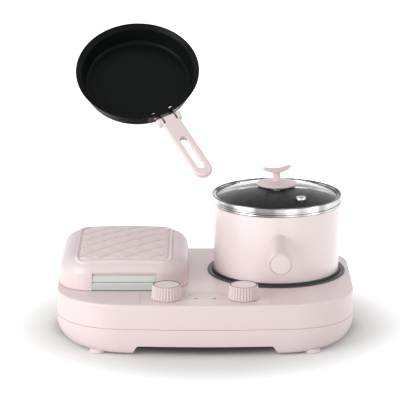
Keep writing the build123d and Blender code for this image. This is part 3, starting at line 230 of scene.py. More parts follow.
@dataclass(frozen=True)
class Finish:
    """A surface finish: its colour, its gloss, and how its surface is broken up."""

    name: str
    colour: Colour
    roughness: float
    metallic: float = 0.0
    coat: float = 0.0
    relief: Relief = Relief.MOULDED
    bump: float = 0.05
    bump_reach: float = 0.0004
    tone_scale: float = 14.0
    tone_spread: float = 0.03
    gloss_scale: float = 35.0
    gloss_spread: float = 0.08
    transmission: float = 0.0
    # Painted light and shade: below this height the colour becomes the low one.
    height_split: Optional[float] = None
    painted_low_colour: Colour = (0.1, 0.1, 0.1)
    low_roughness: float = 0.4
    reflection_strength: float = 0.0
    gleam: float = 0.5
    refraction: float = 1.46
    coat_density: float = 1.5
    coat_roughness: float = 0.3

    def build(self, effects: Effects) -> bpy.types.Material:
        """Make the material.

        Args:
            effects: the shared groups.

        Returns:
            The finished material.
        """
        material = bpy.data.materials.new(self.name)
        material.use_nodes = True
        wiring = Wiring(material.node_tree)
        shader = material.node_tree.nodes["Principled BSDF"]
        constants = {
            "Metallic": self.metallic,
            "Coat Weight": self.coat,
            "Coat Roughness": self.coat_roughness,
            "Transmission Weight": self.transmission,
            "IOR": self.refraction,
            "Coat IOR": self.coat_density,
            "Specular IOR Level": self.gleam,
        }
        for socket, value in constants.items():
            shader.inputs[socket].default_value = value
        inputs = {"Color": (*self.colour, 1.0), "Scale": self.tone_scale, "Spread": self.tone_spread}
        colour = wiring.node("ShaderNodeGroup", inputs, node_tree=effects.tone).outputs["Color"]
        inputs = {"Roughness": self.roughness, "Scale": self.gloss_scale, "Spread": self.gloss_spread}
        rough = wiring.node("ShaderNodeGroup", inputs, node_tree=effects.gloss).outputs["Roughness"]
        # Painted light and shade: below the height the steel takes another colour.
        if self.height_split is not None:
            colour, rough = self.paint_light_by_height(wiring, colour, rough)
        # Painted reflection: light and dark bands round the pot's axis.
        if self.reflection_strength > 0:
            inputs = {"Color": colour, "Strength": self.reflection_strength}
            colour = wiring.node("ShaderNodeGroup", inputs, node_tree=effects.painted_reflection).outputs["Color"]
        wiring.tree.links.new(rough, shader.inputs["Roughness"])
        wiring.tree.links.new(colour, shader.inputs["Base Color"])
        if self.transmission == 0:
            self.add_relief(wiring, effects, shader)
        return material

    def paint_light_by_height(self, wiring: Wiring, colour: Socket, rough: Socket) -> tuple[Socket, Socket]:
        """Mix in the low colour, which paints light and shade by height on one steel, and the low roughness
        below the height, and return both mixed.
        """
        parts = wiring.node("ShaderNodeSeparateXYZ", {"Vector": wiring.place()})
        above = wiring.math("GREATER_THAN", parts.outputs["Z"], self.height_split)
        inputs = {"Factor": above, "A": (*self.painted_low_colour, 1.0), "B": colour}
        mixed_colour = wiring.node("ShaderNodeMix", inputs, data_type="RGBA")
        mixed_rough = wiring.node("ShaderNodeMix", {"Factor": above, "A": self.low_roughness, "B": rough})
        return mixed_colour.outputs["Result"], mixed_rough.outputs["Result"]

    def add_relief(self, wiring: Wiring, effects: Effects, shader: bpy.types.ShaderNode) -> None:
        """Feed the grain or the strokes to the shader's normal."""
        tree = effects.strokes if self.relief is Relief.BRUSHED else effects.grain
        source = wiring.node("ShaderNodeGroup", {"Scale": self.relief.value}, node_tree=tree)
        inputs = {"Height": source.outputs["Height"], "Strength": self.bump, "Distance": self.bump_reach}
        bump = wiring.node("ShaderNodeBump", inputs)
        wiring.tree.links.new(bump.outputs["Normal"], shader.inputs["Normal"])


PINK = (0.80, 0.665, 0.66)
STEEL = (0.62, 0.62, 0.61)

FINISHES = [
    Finish("pink_housing", PINK, 0.38, coat=0.6, coat_density=1.7, coat_roughness=0.4),
    Finish("pink_rubber_foot", (0.78, 0.65, 0.65), 0.55, bump=0.12),
    Finish("steel_screw", STEEL, 0.3, metallic=1.0, relief=Relief.BRUSHED),
    Finish("pink_panel", (0.80, 0.68, 0.675), 0.3, coat=0.2, relief=Relief.SPRAYED),
    Finish("dark_lens", (0.03, 0.022, 0.022), 0.3, coat=0.05, relief=Relief.POLISHED, bump=0.02),
    Finish("inner_plastic", (0.7, 0.68, 0.62), 0.5, bump=0.1),
    Finish("dark_ring", (0.075, 0.08, 0.078), 0.42, metallic=0.6, relief=Relief.SPRAYED, bump=0.08),
    Finish("hotplate_metal", (0.08, 0.08, 0.08), 0.5, metallic=0.5, relief=Relief.SPRAYED, bump=0.2),
    Finish("element_steel", (0.3, 0.27, 0.24), 0.42, metallic=1.0, relief=Relief.BRUSHED, tone_spread=0.2),
    Finish("tub_metal", (0.1, 0.1, 0.1), 0.4, metallic=0.5, relief=Relief.SPRAYED),
    Finish("nonstick_plate", (0.025, 0.026, 0.026), 0.38, coat=0.1, relief=Relief.SPRAYED, bump=0.15),
    Finish("steel_bracket", STEEL, 0.32, metallic=1.0, relief=Relief.BRUSHED, bump=0.1),
    Finish("pink_lid", (0.745, 0.632, 0.627), 0.38, coat=0.5, coat_density=1.7, coat_roughness=0.42),
    Finish("pink_quilt", (0.80, 0.67, 0.665), 0.36, coat=0.15),
    Finish("latch_silver", (0.60, 0.64, 0.62), 0.33, metallic=0.35, relief=Relief.BRUSHED, bump=0.06),
    Finish("pink_knob", (0.76, 0.64, 0.635), 0.34, coat=0.1),
    Finish("pink_knob_cap", (0.83, 0.71, 0.70), 0.34, coat=0.1),
    Finish(
        "pink_pot", (0.86, 0.745, 0.74), 0.36, coat=1.0, relief=Relief.SPRAYED, bump=0.01,
        coat_density=1.9, coat_roughness=0.36,
    ),
    # Painted shade: the bowl's steel is dark below the rim's height, with painted reflection bands round the
    # axis.
    Finish(
        "polished_steel", (0.60, 0.60, 0.59), 0.16, metallic=1.0, relief=Relief.POLISHED, bump=0.004,
        height_split=0.1655, painted_low_colour=(0.10, 0.102, 0.10), low_roughness=0.3, reflection_strength=0.8,
    ),
    Finish("spreader_metal", (0.6, 0.6, 0.6), 0.35, metallic=1.0, relief=Relief.BRUSHED),
    Finish("pink_handle", PINK, 0.33, coat=0.1),
    Finish("pink_handle_cap", (0.84, 0.72, 0.715), 0.36, coat=0.1),
    Finish(
        "clear_glass", (0.93, 0.95, 0.945), 0.02, transmission=1.0, refraction=1.14,
        gloss_spread=0.01, tone_spread=0.01,
    ),
    Finish("vent_steel", (0.6, 0.6, 0.6), 0.15, metallic=1.0, relief=Relief.POLISHED, bump=0.03),
    Finish("pink_lid_knob", (0.80, 0.63, 0.635), 0.3, coat=0.15),
    Finish("seal_rubber", (0.6, 0.6, 0.6), 0.6, bump=0.1),
    Finish("nonstick_pan", (0.006, 0.0075, 0.0065), 0.3, gleam=0.07, relief=Relief.SPRAYED, bump=0.1),
    Finish("pan_bracket_steel", (0.13, 0.125, 0.12), 0.3, metallic=1.0, relief=Relief.BRUSHED, bump=0.06),
    Finish("pink_pan_handle", PINK, 0.32, coat=0.1),
    # Painted light: the band's steel is dark above the height and pale below it, with painted reflection
    # bands round the axis.
    Finish(
        "lid_steel", (0.13, 0.13, 0.13), 0.24, metallic=1.0, relief=Relief.POLISHED, bump=0.004,
        height_split=0.1786, painted_low_colour=(0.52, 0.52, 0.51), low_roughness=0.2, reflection_strength=0.8,
    ),
    Finish("seam_shade", (0.10, 0.07, 0.07), 0.6, relief=Relief.SPRAYED),
    Finish("vent_dark", (0.05, 0.05, 0.05), 0.4, metallic=0.3, relief=Relief.SPRAYED),
    Finish("panel_print", (0.20, 0.155, 0.16), 0.5, relief=Relief.SPRAYED),
]


@dataclass
class FinishBook:
    """Every finish as a material, by its slot name."""

    effects: Effects
    materials: dict[str, bpy.types.Material] = field(default_factory=dict)

    def __post_init__(self) -> None:
        """Build every material."""
        for finish in FINISHES:
            self.materials[finish.name] = finish.build(self.effects)

    def dress(self, piece: bpy.types.Object, slot: str) -> None:
        """Give a piece the finish of one slot."""
        material = self.materials[slot]
        if not piece.material_slots:
            piece.data.materials.append(material)
            return
        for holder in piece.material_slots:
            holder.material = material


def shade_smooth(data: bpy.types.Mesh, smooth_angle: float = 35.0) -> None:
    """Shade a mesh smooth, with its corners over that angle kept sharp and no vertex moved."""
    data.shade_smooth()
    data.set_sharp_from_angle(angle=math.radians(smooth_angle))


@dataclass
class SubAssembly:
    """A group of CAD nodes on named bodies, with the pieces that are added to them."""

    book: FinishBook
    bodies: list[str]

    def slots(self) -> dict[str, str]:
        """Return the material slot of each node of this sub-assembly, by the node's name."""
        members = frame["record"]["behaviour"]["bodies"]
        mine = {node for body in self.bodies for node in members[body]}
        rows = frame["record"]["subparts"]
        return {row["node"]: row["material_slot"] for row in rows if row["node"] in mine}

    def dress(self) -> None:
        """Give every node of this sub-assembly its finish and smooth its round faces."""
        for node, slot in self.slots().items():
            piece = frame["nodes"][node]
            shade_smooth(piece.data)
            self.book.dress(piece, slot)
            LOG.info("dressed %s in %s", node, slot)

    def build(self) -> None:
        """Add the pieces that the CAD nodes lack: none, unless the sub-assembly has its own."""

    def keep(self, piece: bpy.types.Object, body: str, slot: str) -> None:
        """Put a new piece on its body and give it its finish."""
        self.book.dress(piece, slot)
        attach(piece, body)
        LOG.info("added %s on %s", piece.name, body)


def mesh_piece(name: str, mesh: Mesh, smooth_angle: float = 40.0) -> bpy.types.Object:
    """Turn a bmesh into an object with smooth round faces.

    Args:
        name: the object's name.
        mesh: the bmesh, which is freed.
        smooth_angle: edges sharper than this many degrees stay sharp.

    Returns:
        The new object.
    """
    bmesh.ops.recalc_face_normals(mesh, faces=mesh.faces)
    for face in mesh.faces:
        face.smooth = True
    limit = math.radians(smooth_angle)
    for edge in mesh.edges:
        if len(edge.link_faces) == 2 and edge.calc_face_angle(0.0) > limit:
            edge.smooth = False
    data = bpy.data.meshes.new(name)
    mesh.to_mesh(data)
    mesh.free()
    piece = bpy.data.objects.new(name, data)
    bpy.context.scene.collection.objects.link(piece)
    return piece


def lathe(profile: list[Flat], centre: Flat = (0.0, 0.0), steps: int = 200) -> Mesh:
    """Turn a closed outline about an upright axis.

    Args:
        profile: radius and height of each point, in order round the outline.
        centre: place of the axis.
        steps: steps round the axis.

    Returns:
        A closed mesh.
    """
    mesh = bmesh.new()
    rings = []
    for radius, height in profile:
        if radius == 0:
            rings.append([mesh.verts.new((centre[0], centre[1], height))])
            continue
        ring = []
        for step in range(steps):
            turn = math.tau * step / steps
            x = centre[0] + radius * math.cos(turn)
            y = centre[1] + radius * math.sin(turn)
            ring.append(mesh.verts.new((x, y, height)))
        rings.append(ring)
    for index, low in enumerate(rings):
        bridge(mesh, low, rings[(index + 1) % len(rings)], steps)
    return mesh


def bridge(mesh: Mesh, low: Ring, high: Ring, steps: int) -> None:
    """Join two rings of that many steps, or a ring and a point, with faces."""
    if len(low) == 1 and len(high) == 1:
        return
    for step in range(steps):
        after = (step + 1) % steps
        if len(low) == 1:
            mesh.faces.new((low[0], high[after], high[step]))
        elif len(high) == 1:
            mesh.faces.new((low[step], low[after], high[0]))
        else:
            mesh.faces.new((low[step], low[after], high[after], high[step]))


def arc(centre: Flat, radius: float, start: float, end: float, steps: int = 6) -> list[Flat]:
    """Return the points of an arc in a turned outline, ends included, between two angles in degrees."""
    points = []
    for step in range(steps + 1):
        turn = math.radians(start + (end - start) * step / steps)
        points.append((centre[0] + radius * math.cos(turn), centre[1] + radius * math.sin(turn)))
    return points


def skin(mesh: Mesh, rings: list[Ring]) -> None:
    """Join a row of rings, each to the next, and close both ends."""
    for low, high in zip(rings, rings[1:]):
        bridge(mesh, low, high, len(rings[0]))
    mesh.faces.new(rings[0])
    mesh.faces.new(rings[-1])


def spin(x: float, y: float, degrees: float, centre: Flat) -> Flat:
    """Turn a place about the origin, then carry it to the centre."""
    turn = math.radians(degrees)
    across = centre[0] + (x * math.cos(turn) - y * math.sin(turn))
    return across, centre[1] + (x * math.sin(turn) + y * math.cos(turn))


@dataclass
class Base(SubAssembly):
    """The base: housings, well, lower grill and panel, with the well's lip and the printed marks."""

    lip_inner: float = 0.0864
    lip_outer: float = 0.0880
    lip_height: float = 0.0028
    lip_sunk: float = 0.001
    lip_bevel: float = 0.0005
    mark_height: float = 0.00008
    mark_width: float = 0.0006
    dash_length: float = 0.0022
    dash_pitch: float = 0.0034
    dash_start: float = 0.0225
    dash_y: float = -0.0925
    dash_count: int = 3
    dot: Flat = (0.0272, -0.1085)
    dot_size: float = 0.00096
    ring_centre: Flat = (-0.0205, -0.0935)
    ring_radius: float = 0.0016
    ring_steps: int = 24
    ring_overlap: float = 1.1
    rule_left: float = -0.0285
    rule_right: float = -0.0185
    rule_y: float = -0.1075
    rule_width: float = 0.00036

    def bar(self, mesh: Mesh, x: float, y: float, length: float, width: float) -> None:
        """Add one raised bar of print to the panel, by its middle and its size along X and Y."""
        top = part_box("control_panel")[1][2]
        made = bmesh.ops.create_cube(mesh, size=1.0)
        for vert in made["verts"]:
            vert.co.x = x + vert.co.x * length
            vert.co.y = y + vert.co.y * width
            vert.co.z = top + (vert.co.z + 0.5) * self.mark_height

    def marks(self) -> None:
        """Print plain dashes, a dot, a rule and a ring beside the dials."""
        mesh = bmesh.new()
        for index in range(self.dash_count):
            x = self.dash_start + index * self.dash_pitch
            self.bar(mesh, x, self.dash_y, self.dash_length, self.mark_width)
        self.bar(mesh, *self.dot, self.dot_size, self.dot_size)
        middle = (self.rule_left + self.rule_right) / 2
        self.bar(mesh, middle, self.rule_y, self.rule_right - self.rule_left, self.rule_width)
        side = math.tau * self.ring_radius / self.ring_steps * self.ring_overlap
        for step in range(self.ring_steps):
            x, y = spin(self.ring_radius, 0.0, 360.0 * step / self.ring_steps, self.ring_centre)
            self.bar(mesh, x, y, side, side)
        marks = mesh_piece("panel_marks", mesh)
        self.keep(marks, "base", "panel_print")

    def well_lip(self) -> None:
        """Make the dark lip that stands round the pot inside its flange."""
        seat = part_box("heater_well")[1].z
        outline = [
            (self.lip_inner, seat - self.lip_sunk),
            (self.lip_outer, seat - self.lip_sunk),
            (self.lip_outer, seat + self.lip_height - self.lip_bevel),
            (self.lip_outer - self.lip_bevel, seat + self.lip_height),
            (self.lip_inner, seat + self.lip_height),
        ]
        lip = mesh_piece("well_lip", lathe(outline, POT_AXIS))
        self.keep(lip, "base", "dark_ring")

    def build(self) -> None:
        """Make the well's lip and the printed marks."""
        self.well_lip()
        self.marks()


@dataclass
class SandwichLid(SubAssembly):
    """The sandwich lid with its latch, and the puffed quilt panel inlaid in its top."""

    centre: Flat = (-0.10975, 0.0170)
    quilt_shift: float = 0.0050
    top: float = 0.117
    crown_radius: float = 1.0
    half_width: float = 0.0654
    half_depth: float = 0.0850
    corner: float = 0.0160
    bead_width: float = 0.0036
    bead_height: float = 0.0015
    groove_width: float = 0.0028
    groove_depth: float = 0.0012
    field_height: float = 0.0002
    puff: float = 0.0012
    puff_power: float = 0.4
    crease_depth: float = 0.0013
    crease_width: float = 0.0010
    line_spacing: float = 0.0244
    thickness: float = 0.0018
    shell: Optional[BVHTree] = None
    shell_from: float = -0.0760
    shell_edge: float = 0.012
    shell_fall: float = 0.0022
    probe_height: float = 0.05
    rows: int = 230
    columns: int = 190
    row_ease: float = 0.35
    smooth_angle: float = 60.0

    def edge_distance(self, x: float, y: float) -> float:
        """Return how far a place, taken from the panel's middle, lies within its edge."""
        out_x = abs(x) - (self.half_width - self.corner)
        out_y = abs(y) - (self.half_depth - self.corner)
        if out_x > 0 and out_y > 0:
            return self.corner - math.hypot(out_x, out_y)
        return self.corner - max(out_x, out_y)

    def relief(self, x: float, y: float) -> float:
        """Height of the panel over the lid's top: a bead, a groove, and the creased pillows inside them.

        Args:
            x: place from the panel's middle.
            y: place from the panel's middle.

        Returns:
            The height.
        """
        inwards = max(self.edge_distance(x, y), 0.0)
        if inwards < self.bead_width:
            share = inwards / self.bead_width
            return self.bead_height * math.sqrt(max(1.0 - (2.0 * share - 1.0) ** 2, 0.0))
        inwards -= self.bead_width
        if inwards < self.groove_width:
            return -self.groove_depth * math.sin(math.pi * inwards / self.groove_width)
        inwards -= self.groove_width
        deep = y - self.quilt_shift
        waves = []
        for along in (x + deep, x - deep):
            turns = along / math.sqrt(2.0) / self.line_spacing + 0.5
            waves.append(abs(math.sin(math.pi * turns)))
        height = self.field_height + self.puff * (waves[0] * waves[1]) ** self.puff_power
        for wave in waves:
            gap = self.line_spacing * math.asin(min(wave, 1.0)) / math.pi
            height -= self.crease_depth * math.exp(-((gap / self.crease_width) ** 2))
        return height * math.sqrt(min(inwards / self.groove_width, 1.0))

    def crown(self, x: float, y: float) -> float:
        """Return the height of the crown, or of the shell where that falls away from it."""
        deep = y - self.quilt_shift
        height = self.top - self.crown_radius + math.sqrt(self.crown_radius ** 2 - x * x - deep * deep)
        if self.edge_distance(x, y) > self.shell_edge and y > self.shell_from:
            return height
        start = Vector((self.centre[0] + x, self.centre[1] + y, self.top + self.probe_height))
        hit = self.shell.ray_cast(start, Vector((0.0, 0.0, -1.0)))[0]
        if hit is None or (height - hit.z < self.shell_fall and y > self.shell_from):
            return height
        return min(hit.z, height)

    def half_row(self, y: float) -> float:
        """Return the half width of the panel at a place from its middle."""
        out = abs(y) - (self.half_depth - self.corner)
        if out <= 0:
            return self.half_width
        return self.half_width - self.corner + math.sqrt(max(self.corner ** 2 - out ** 2, 0.0))

    def build(self) -> None:
        """Make the quilted panel as one closed puffed sheet that lies on the lid's own top."""
        node = frame["nodes"]["lid_shell"]
        corners = [node.matrix_world @ vertex.co for vertex in node.data.vertices]
        self.shell = BVHTree.FromPolygons(corners, [face.vertices for face in node.data.polygons])
        mesh = bmesh.new()
        sheet = []
        for row in range(self.rows + 1):
            share = 2.0 * row / self.rows - 1.0
            eased = math.sin(share * math.pi / 2) * self.row_ease + share * (1.0 - self.row_ease)
            y = self.half_depth * eased
            half = self.half_row(y)
            line = []
            for column in range(self.columns + 1):
                x = half * (2.0 * column / self.columns - 1.0)
                z = self.crown(x, y) + self.relief(x, y)
                line.append(mesh.verts.new((self.centre[0] + x, self.centre[1] + y, z)))
            sheet.append(line)
        for low, high in zip(sheet, sheet[1:]):
            for column in range(self.columns):
                mesh.faces.new((low[column], low[column + 1], high[column + 1], high[column]))
        self.close_below(mesh, sheet)
        panel = mesh_piece("quilt_panel", mesh, self.smooth_angle)
        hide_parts("lid_quilt_panel")
        self.keep(panel, "sandwich_lid", "pink_quilt")

    def close_below(self, mesh: Mesh, sheet: list[Ring]) -> None:
        """Give the sheet, by its rows of vertices, its edge and a plain underside."""
        loop = list(sheet[0])
        loop += [line[-1] for line in sheet[1:]]
        loop += list(reversed(sheet[-1][:-1]))
        loop += [line[0] for line in reversed(sheet[1:-1])]
        drop = Vector((0.0, 0.0, self.thickness))
        below = [mesh.verts.new(vertex.co - drop) for vertex in loop]
        bridge(mesh, loop, below, len(loop))
        middle = (self.centre[0], self.centre[1], self.crown(0.0, 0.0) - self.thickness)
        bridge(mesh, below, [mesh.verts.new(middle)], len(loop))


@dataclass
class Dials(SubAssembly):
    """The two fluted dials, each with the dark seam round the disc in its top."""

    places: tuple[tuple[str, str, float], ...] = (
        ("timer_knob", "timer_dial", -0.051),
        ("heat_knob", "heat_dial", 0.051),
    )
    middle_y: float = -0.108
    low: float = 0.0716
    high: float = 0.0902
    base_radius: float = 0.0204
    rim_radius: float = 0.0189
    foot_height: float = 0.0006
    foot_flute: float = 0.85
    # The rounded rim: how far each row stands out, how far below the top, and its share of the flutes.
    rim_rows: tuple[Point, ...] = (
        (0.0002, 0.0012, 1.0),
        (0.0, 0.0006, 0.6),
        (-0.0003, 0.0001, 0.15),
        (-0.0006, 0.0, 0.0),
    )
    flutes: int = 30
    flute_depth: float = 0.0019
    flute_power: float = 3.0
    samples: int = 14
    pocket_radius: float = 0.01805
    pocket_depth: float = 0.0024
    seam_inner: float = 0.0172
    seam_outer: float = 0.0182
    seam_depth: float = 0.0008
    seam_rise: float = 0.00008
    seam_steps: int = 96
    smooth_angle: float = 50.0

    def rows(self) -> list[Point]:
        """Return the radius, the height and the share of the flutes of each ring, from the foot up."""
        rows = [
            (self.base_radius, self.low, self.foot_flute),
            (self.base_radius, self.low + self.foot_height, 1.0),
        ]
        rows += [(self.rim_radius + out, self.high - drop, share) for out, drop, share in self.rim_rows]
        rows += [(self.pocket_radius, self.high - drop, 0.0) for drop in (0.0, self.pocket_depth)]
        return rows

    def knob(self, name: str, body: str, x: float) -> None:
        """Make the fluted skirt and the seam of one dial.

        Args:
            name: the CAD node that it stands for.
            body: the body that carries it.
            x: place of the dial's axis.
        """
        steps = self.flutes * self.samples
        mesh = bmesh.new()
        rings = []
        for radius, height, share in self.rows():
            ring = []
            for step in range(steps):
                flute = abs(math.sin(math.pi * step / self.samples)) ** self.flute_power
                reach = radius - share * self.flute_depth * flute
                place = spin(reach, 0.0, 360.0 * step / steps, (x, self.middle_y))
                ring.append(mesh.verts.new((*place, height)))
            rings.append(ring)
        skin(mesh, rings)
        skirt = mesh_piece(f"{name}_skirt", mesh, self.smooth_angle)
        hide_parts(name)
        self.keep(skirt, body, "pink_knob")
        foot = self.high - self.seam_depth
        top = self.high + self.seam_rise
        inner, outer = self.seam_inner, self.seam_outer
        seam = [(inner, foot), (outer, foot), (outer, top), (inner, top)]
        line = mesh_piece(f"{name}_seam", lathe(seam, (x, self.middle_y), self.seam_steps))
        self.keep(line, body, "seam_shade")

    def build(self) -> None:
        """Make both dials."""
        for name, body, x in self.places:
            self.knob(name, body, x)


@dataclass
class Pot(SubAssembly):
    """The pot: pink wall, steel bowl with a rolled rim, and the stub handle."""

    low: float = 0.0545
    low_radius: float = 0.0853
    top_radius: float = 0.0880
    wall_top: float = 0.1668
    wall: float = 0.0012
    foot_round: float = 0.006
    foot_reach: float = 0.02
    rim_radius: float = 0.0886
    rim_low: float = 0.1668
    rim_high: float = 0.1704
    rim_round: float = 0.0012
    rim_seat: float = 0.0004
    bowl_radius: float = 0.08512
    bowl_inset: float = 0.002
    bowl_floor: float = 0.0585
    bowl_round: float = 0.014
    bowl_sheet: float = 0.0008
    handle_end: Point = (0.0990, -0.1268, 0.1218)
    handle_root: Point = (0.0990, -0.0420, 0.1340)
    handle_end_radius: float = 0.0164
    handle_root_radius: float = 0.0118
    handle_swell: float = 0.0008
    handle_shares: Flat = (0.35, 0.6)
    handle_round: float = 0.0018
    handle_steps: int = 96
    cap_radius: float = 0.0141
    cap_gap: float = 0.0004
    cap_sink: float = 0.0007
    cap_pocket: float = 0.002
    cap_depth: float = 0.0022
    cap_round: float = 0.0006
    cap_crown: float = 0.0003
    smooth_angle: float = 50.0
    cap_smooth_angle: float = 60.0

    def shell(self) -> None:
        """Make the pink wall, open at the top, with a round foot."""
        slope = (self.top_radius - self.low_radius) / (self.wall_top - self.low)
        knee = self.low_radius + slope * self.foot_round
        centre = (knee - self.foot_round, self.low + self.foot_round)
        outline = [(self.low_radius - self.foot_reach, self.low)]
        outline += arc(centre, self.foot_round, -90, 0)
        outline.append((self.top_radius, self.wall_top))
        outline.append((self.top_radius - self.wall, self.wall_top))
        outline += arc(centre, self.foot_round - self.wall, 0, -90)
        outline.append((self.low_radius - self.foot_reach, self.low + self.wall))
        wall = mesh_piece("pot_wall", lathe(outline, POT_AXIS))
        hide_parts("pot_shell")
        self.keep(wall, "pot", "pink_pot")

    def bowl(self) -> None:
        """Make the steel bowl with its rolled rim."""
        inside = self.bowl_radius
        centre = (inside - self.bowl_inset - self.bowl_round, self.bowl_floor + self.bowl_round)
        bead = (self.rim_high - self.rim_low) / 2
        outline = [(0.0, self.bowl_floor)]
        outline += arc(centre, self.bowl_round, -90, 0)
        outline.append((inside, self.rim_low))
        outline += arc((inside + self.rim_round, self.rim_high - bead), bead, 180, 90)
        outline += arc((self.rim_radius - bead, self.rim_low + bead), bead, 90, -90)
        outline.append((inside + self.bowl_sheet, self.rim_low - self.rim_seat))
        outline += arc(centre, self.bowl_round + self.bowl_sheet, 0, -90)
        outline.append((0.0, self.bowl_floor - self.bowl_sheet))
        bowl = mesh_piece("pot_bowl", lathe(outline, POT_AXIS), self.smooth_angle)
        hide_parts("pot_liner")
        self.keep(bowl, "pot", "polished_steel")

    def handle(self) -> None:
        """Make the stub handle and the disc let into its end."""
        end = Vector(self.handle_end)
        root = Vector(self.handle_root)
        length = (end - root).length
        turn = (end - root).to_track_quat("Z", "Y").to_matrix().to_4x4()
        turn.translation = root
        soft = self.handle_round
        thin = self.handle_root_radius
        edge = self.cap_radius + self.cap_gap
        straight, swollen = self.handle_shares
        outline = [(0.0, 0.0), (thin, 0.0), (thin, length * straight)]
        outline.append((thin + self.handle_swell, length * swollen))
        outline += arc((self.handle_end_radius - soft, length - soft), soft, 0, 90)
        outline += [(edge, length), (edge, length - self.cap_pocket), (0.0, length - self.cap_pocket)]
        stub = lathe(outline, steps=self.handle_steps)
        stub.transform(turn)
        piece = mesh_piece("pot_grip_stub", stub, self.smooth_angle)
        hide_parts("pot_handle")
        self.keep(piece, "pot", "pink_handle")
        soft = self.cap_round
        face = length - self.cap_sink
        outline = [(0.0, length - self.cap_depth), (self.cap_radius, length - self.cap_depth)]
        outline += arc((self.cap_radius - soft, face - soft), soft, 0, 90, 3)
        outline.append((0.0, face + self.cap_crown))
        disc = lathe(outline, steps=self.handle_steps)
        disc.transform(turn)
        cap = mesh_piece("pot_grip_disc", disc, self.cap_smooth_angle)
        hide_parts("pot_handle_cap")
        self.keep(cap, "pot", "pink_handle_cap")

    def build(self) -> None:
        """Make the pot's turned pieces."""
        self.shell()
        self.bowl()
        self.handle()


@dataclass
class PotLid(SubAssembly):
    """The pot's lid: domed glass, steel band, vent, round base and crescent grip."""

    band_low: float = 0.1708
    band_high: float = 0.1800
    band_radius: float = 0.0886
    band_lip: float = 0.0026
    band_step: float = 0.0009
    band_step_low: float = 0.0014
    band_step_high: float = 0.0024
    band_seat: float = 0.0012
    band_steps: int = 240
    bead_width: float = 0.0018
    lip_thick: float = 0.0006
    glass_edge: float = 0.1764
    glass_top: float = 0.1930
    glass_radius: float = 0.0862
    glass_wall: float = 0.0036
    glass_gap: float = 0.0001
    glass_steps: int = 24
    vent: Flat = (0.1296, -0.0185)
    vent_radius: float = 0.0069
    # The eyelet's bore, the middle and width of its flange, and its tube, as shares of its radius.
    vent_bore: float = 0.48
    vent_flange: Flat = (0.75, 0.25)
    vent_tube: float = 0.62
    vent_depth: float = 0.006
    vent_rise: float = 0.0012
    vent_flange_rise: float = 0.0006
    vent_steps: int = 64
    cross_turns: Flat = (40.0, 130.0)
    cross_length: float = 1.1
    cross_width: float = 0.22
    cross_rise: float = 0.0002
    cross_thick: float = 0.0008
    disc_radius: float = 0.0275
    disc_low: float = 0.1927
    disc_high: float = 0.1966
    disc_round: float = 0.0012
    disc_inset: float = 0.002
    disc_dip: float = 0.0016
    disc_edge_drop: float = 0.0004
    disc_crown: float = 0.0002
    disc_steps: int = 128
    stem_radius: float = 0.0052
    stem_round: float = 0.0014
    stem_sunk: float = 0.001
    stem_reach: float = 0.0015
    stem_steps: int = 48
    crescent_half: float = 0.0199
    crescent_low: float = 0.2085
    crescent_thick: float = 0.0058
    crescent_depth: float = 0.0084
    crescent_turn: float = 9.0
    crescent_lean: float = 0.0012
    crescent_sections: int = 26
    section_steps: int = 20
    section_power: float = 0.7
    tip_thick: float = 0.0042
    tip_rise: float = 0.0062
    # How late the crescent narrows towards its tips, and the least share left, in height and depth.
    tip_height: Flat = (8.0, 0.02)
    tip_depth: Flat = (2.6, 0.03)
    smooth_angle: float = 50.0

    def dome(self, radius: float) -> float:
        """Return the height of the glass's upper side at a distance from the axis."""
        rise = self.glass_top - self.glass_edge
        ball = (self.glass_radius ** 2 + rise ** 2) / (2 * rise)
        return self.glass_top - ball + math.sqrt(ball ** 2 - radius ** 2)

    def glass(self) -> None:
        """Make the domed glass."""
        radii = [self.glass_radius * step / self.glass_steps for step in range(self.glass_steps + 1)]
        over = [(radius, self.dome(radius)) for radius in radii]
        under = [(radius, height - self.glass_wall) for radius, height in reversed(over)]
        pane = mesh_piece("lid_dome", lathe(over + under, POT_AXIS), self.smooth_angle)
        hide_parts("lid_glass")
        self.keep(pane, "pot_lid", "clear_glass")

    def band(self) -> None:
        """Make the steel band that grips the edge of the glass."""
        outer = self.band_radius
        inner = self.glass_radius + self.glass_gap
        bead = self.bead_width / 2
        narrow = outer - self.band_step
        lip = inner - self.band_lip
        outline = [(narrow, self.band_low), (narrow, self.band_low + self.band_step_low)]
        outline += arc((narrow, self.band_low + self.band_step_high), self.band_step, -60, 0, 3)
        outline += arc((outer - bead, self.band_high - bead), bead, 0, 180, 10)
        outline.append((outer - 2 * bead, self.glass_edge + self.band_seat))
        outline += [(lip, self.dome(lip) + self.lip_thick), (lip, self.dome(lip) + self.glass_gap)]
        outline += [(inner, self.glass_edge + self.glass_gap), (inner, self.band_low)]
        ring = mesh_piece("lid_band", lathe(outline, POT_AXIS, self.band_steps), self.smooth_angle)
        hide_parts("lid_glass_rim")
        self.keep(ring, "pot_lid", "lid_steel")

    def vent_ring(self) -> None:
        """Make the steam vent: a flanged steel eyelet with a crossed middle."""
        seat = self.dome(math.hypot(self.vent[0] - POT_AXIS[0], self.vent[1] - POT_AXIS[1]))
        wide = self.vent_radius
        bore = wide * self.vent_bore
        tube = wide * self.vent_tube
        middle, width = self.vent_flange
        low = seat - self.vent_depth
        outline = [(bore, low), (bore, seat + self.vent_rise)]
        outline += arc((wide * middle, seat + self.vent_flange_rise), wide * width, 150, 0, 5)
        outline += [(wide, seat - self.vent_rise), (tube, seat - self.vent_rise), (tube, low)]
        eyelet = mesh_piece("vent_eyelet", lathe(outline, self.vent, self.vent_steps))
        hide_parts("steam_vent")
        self.keep(eyelet, "pot_lid", "vent_steel")
        mesh = bmesh.new()
        for turn in self.cross_turns:
            made = bmesh.ops.create_cube(mesh, size=1.0)
            for vert in made["verts"]:
                along = vert.co.x * wide * self.cross_length
                across = vert.co.y * wide * self.cross_width
                place = spin(along, across, turn, self.vent)
                vert.co = (*place, seat + self.cross_rise + vert.co.z * self.cross_thick)
        cross = mesh_piece("vent_cross", mesh)
        self.keep(cross, "pot_lid", "vent_dark")

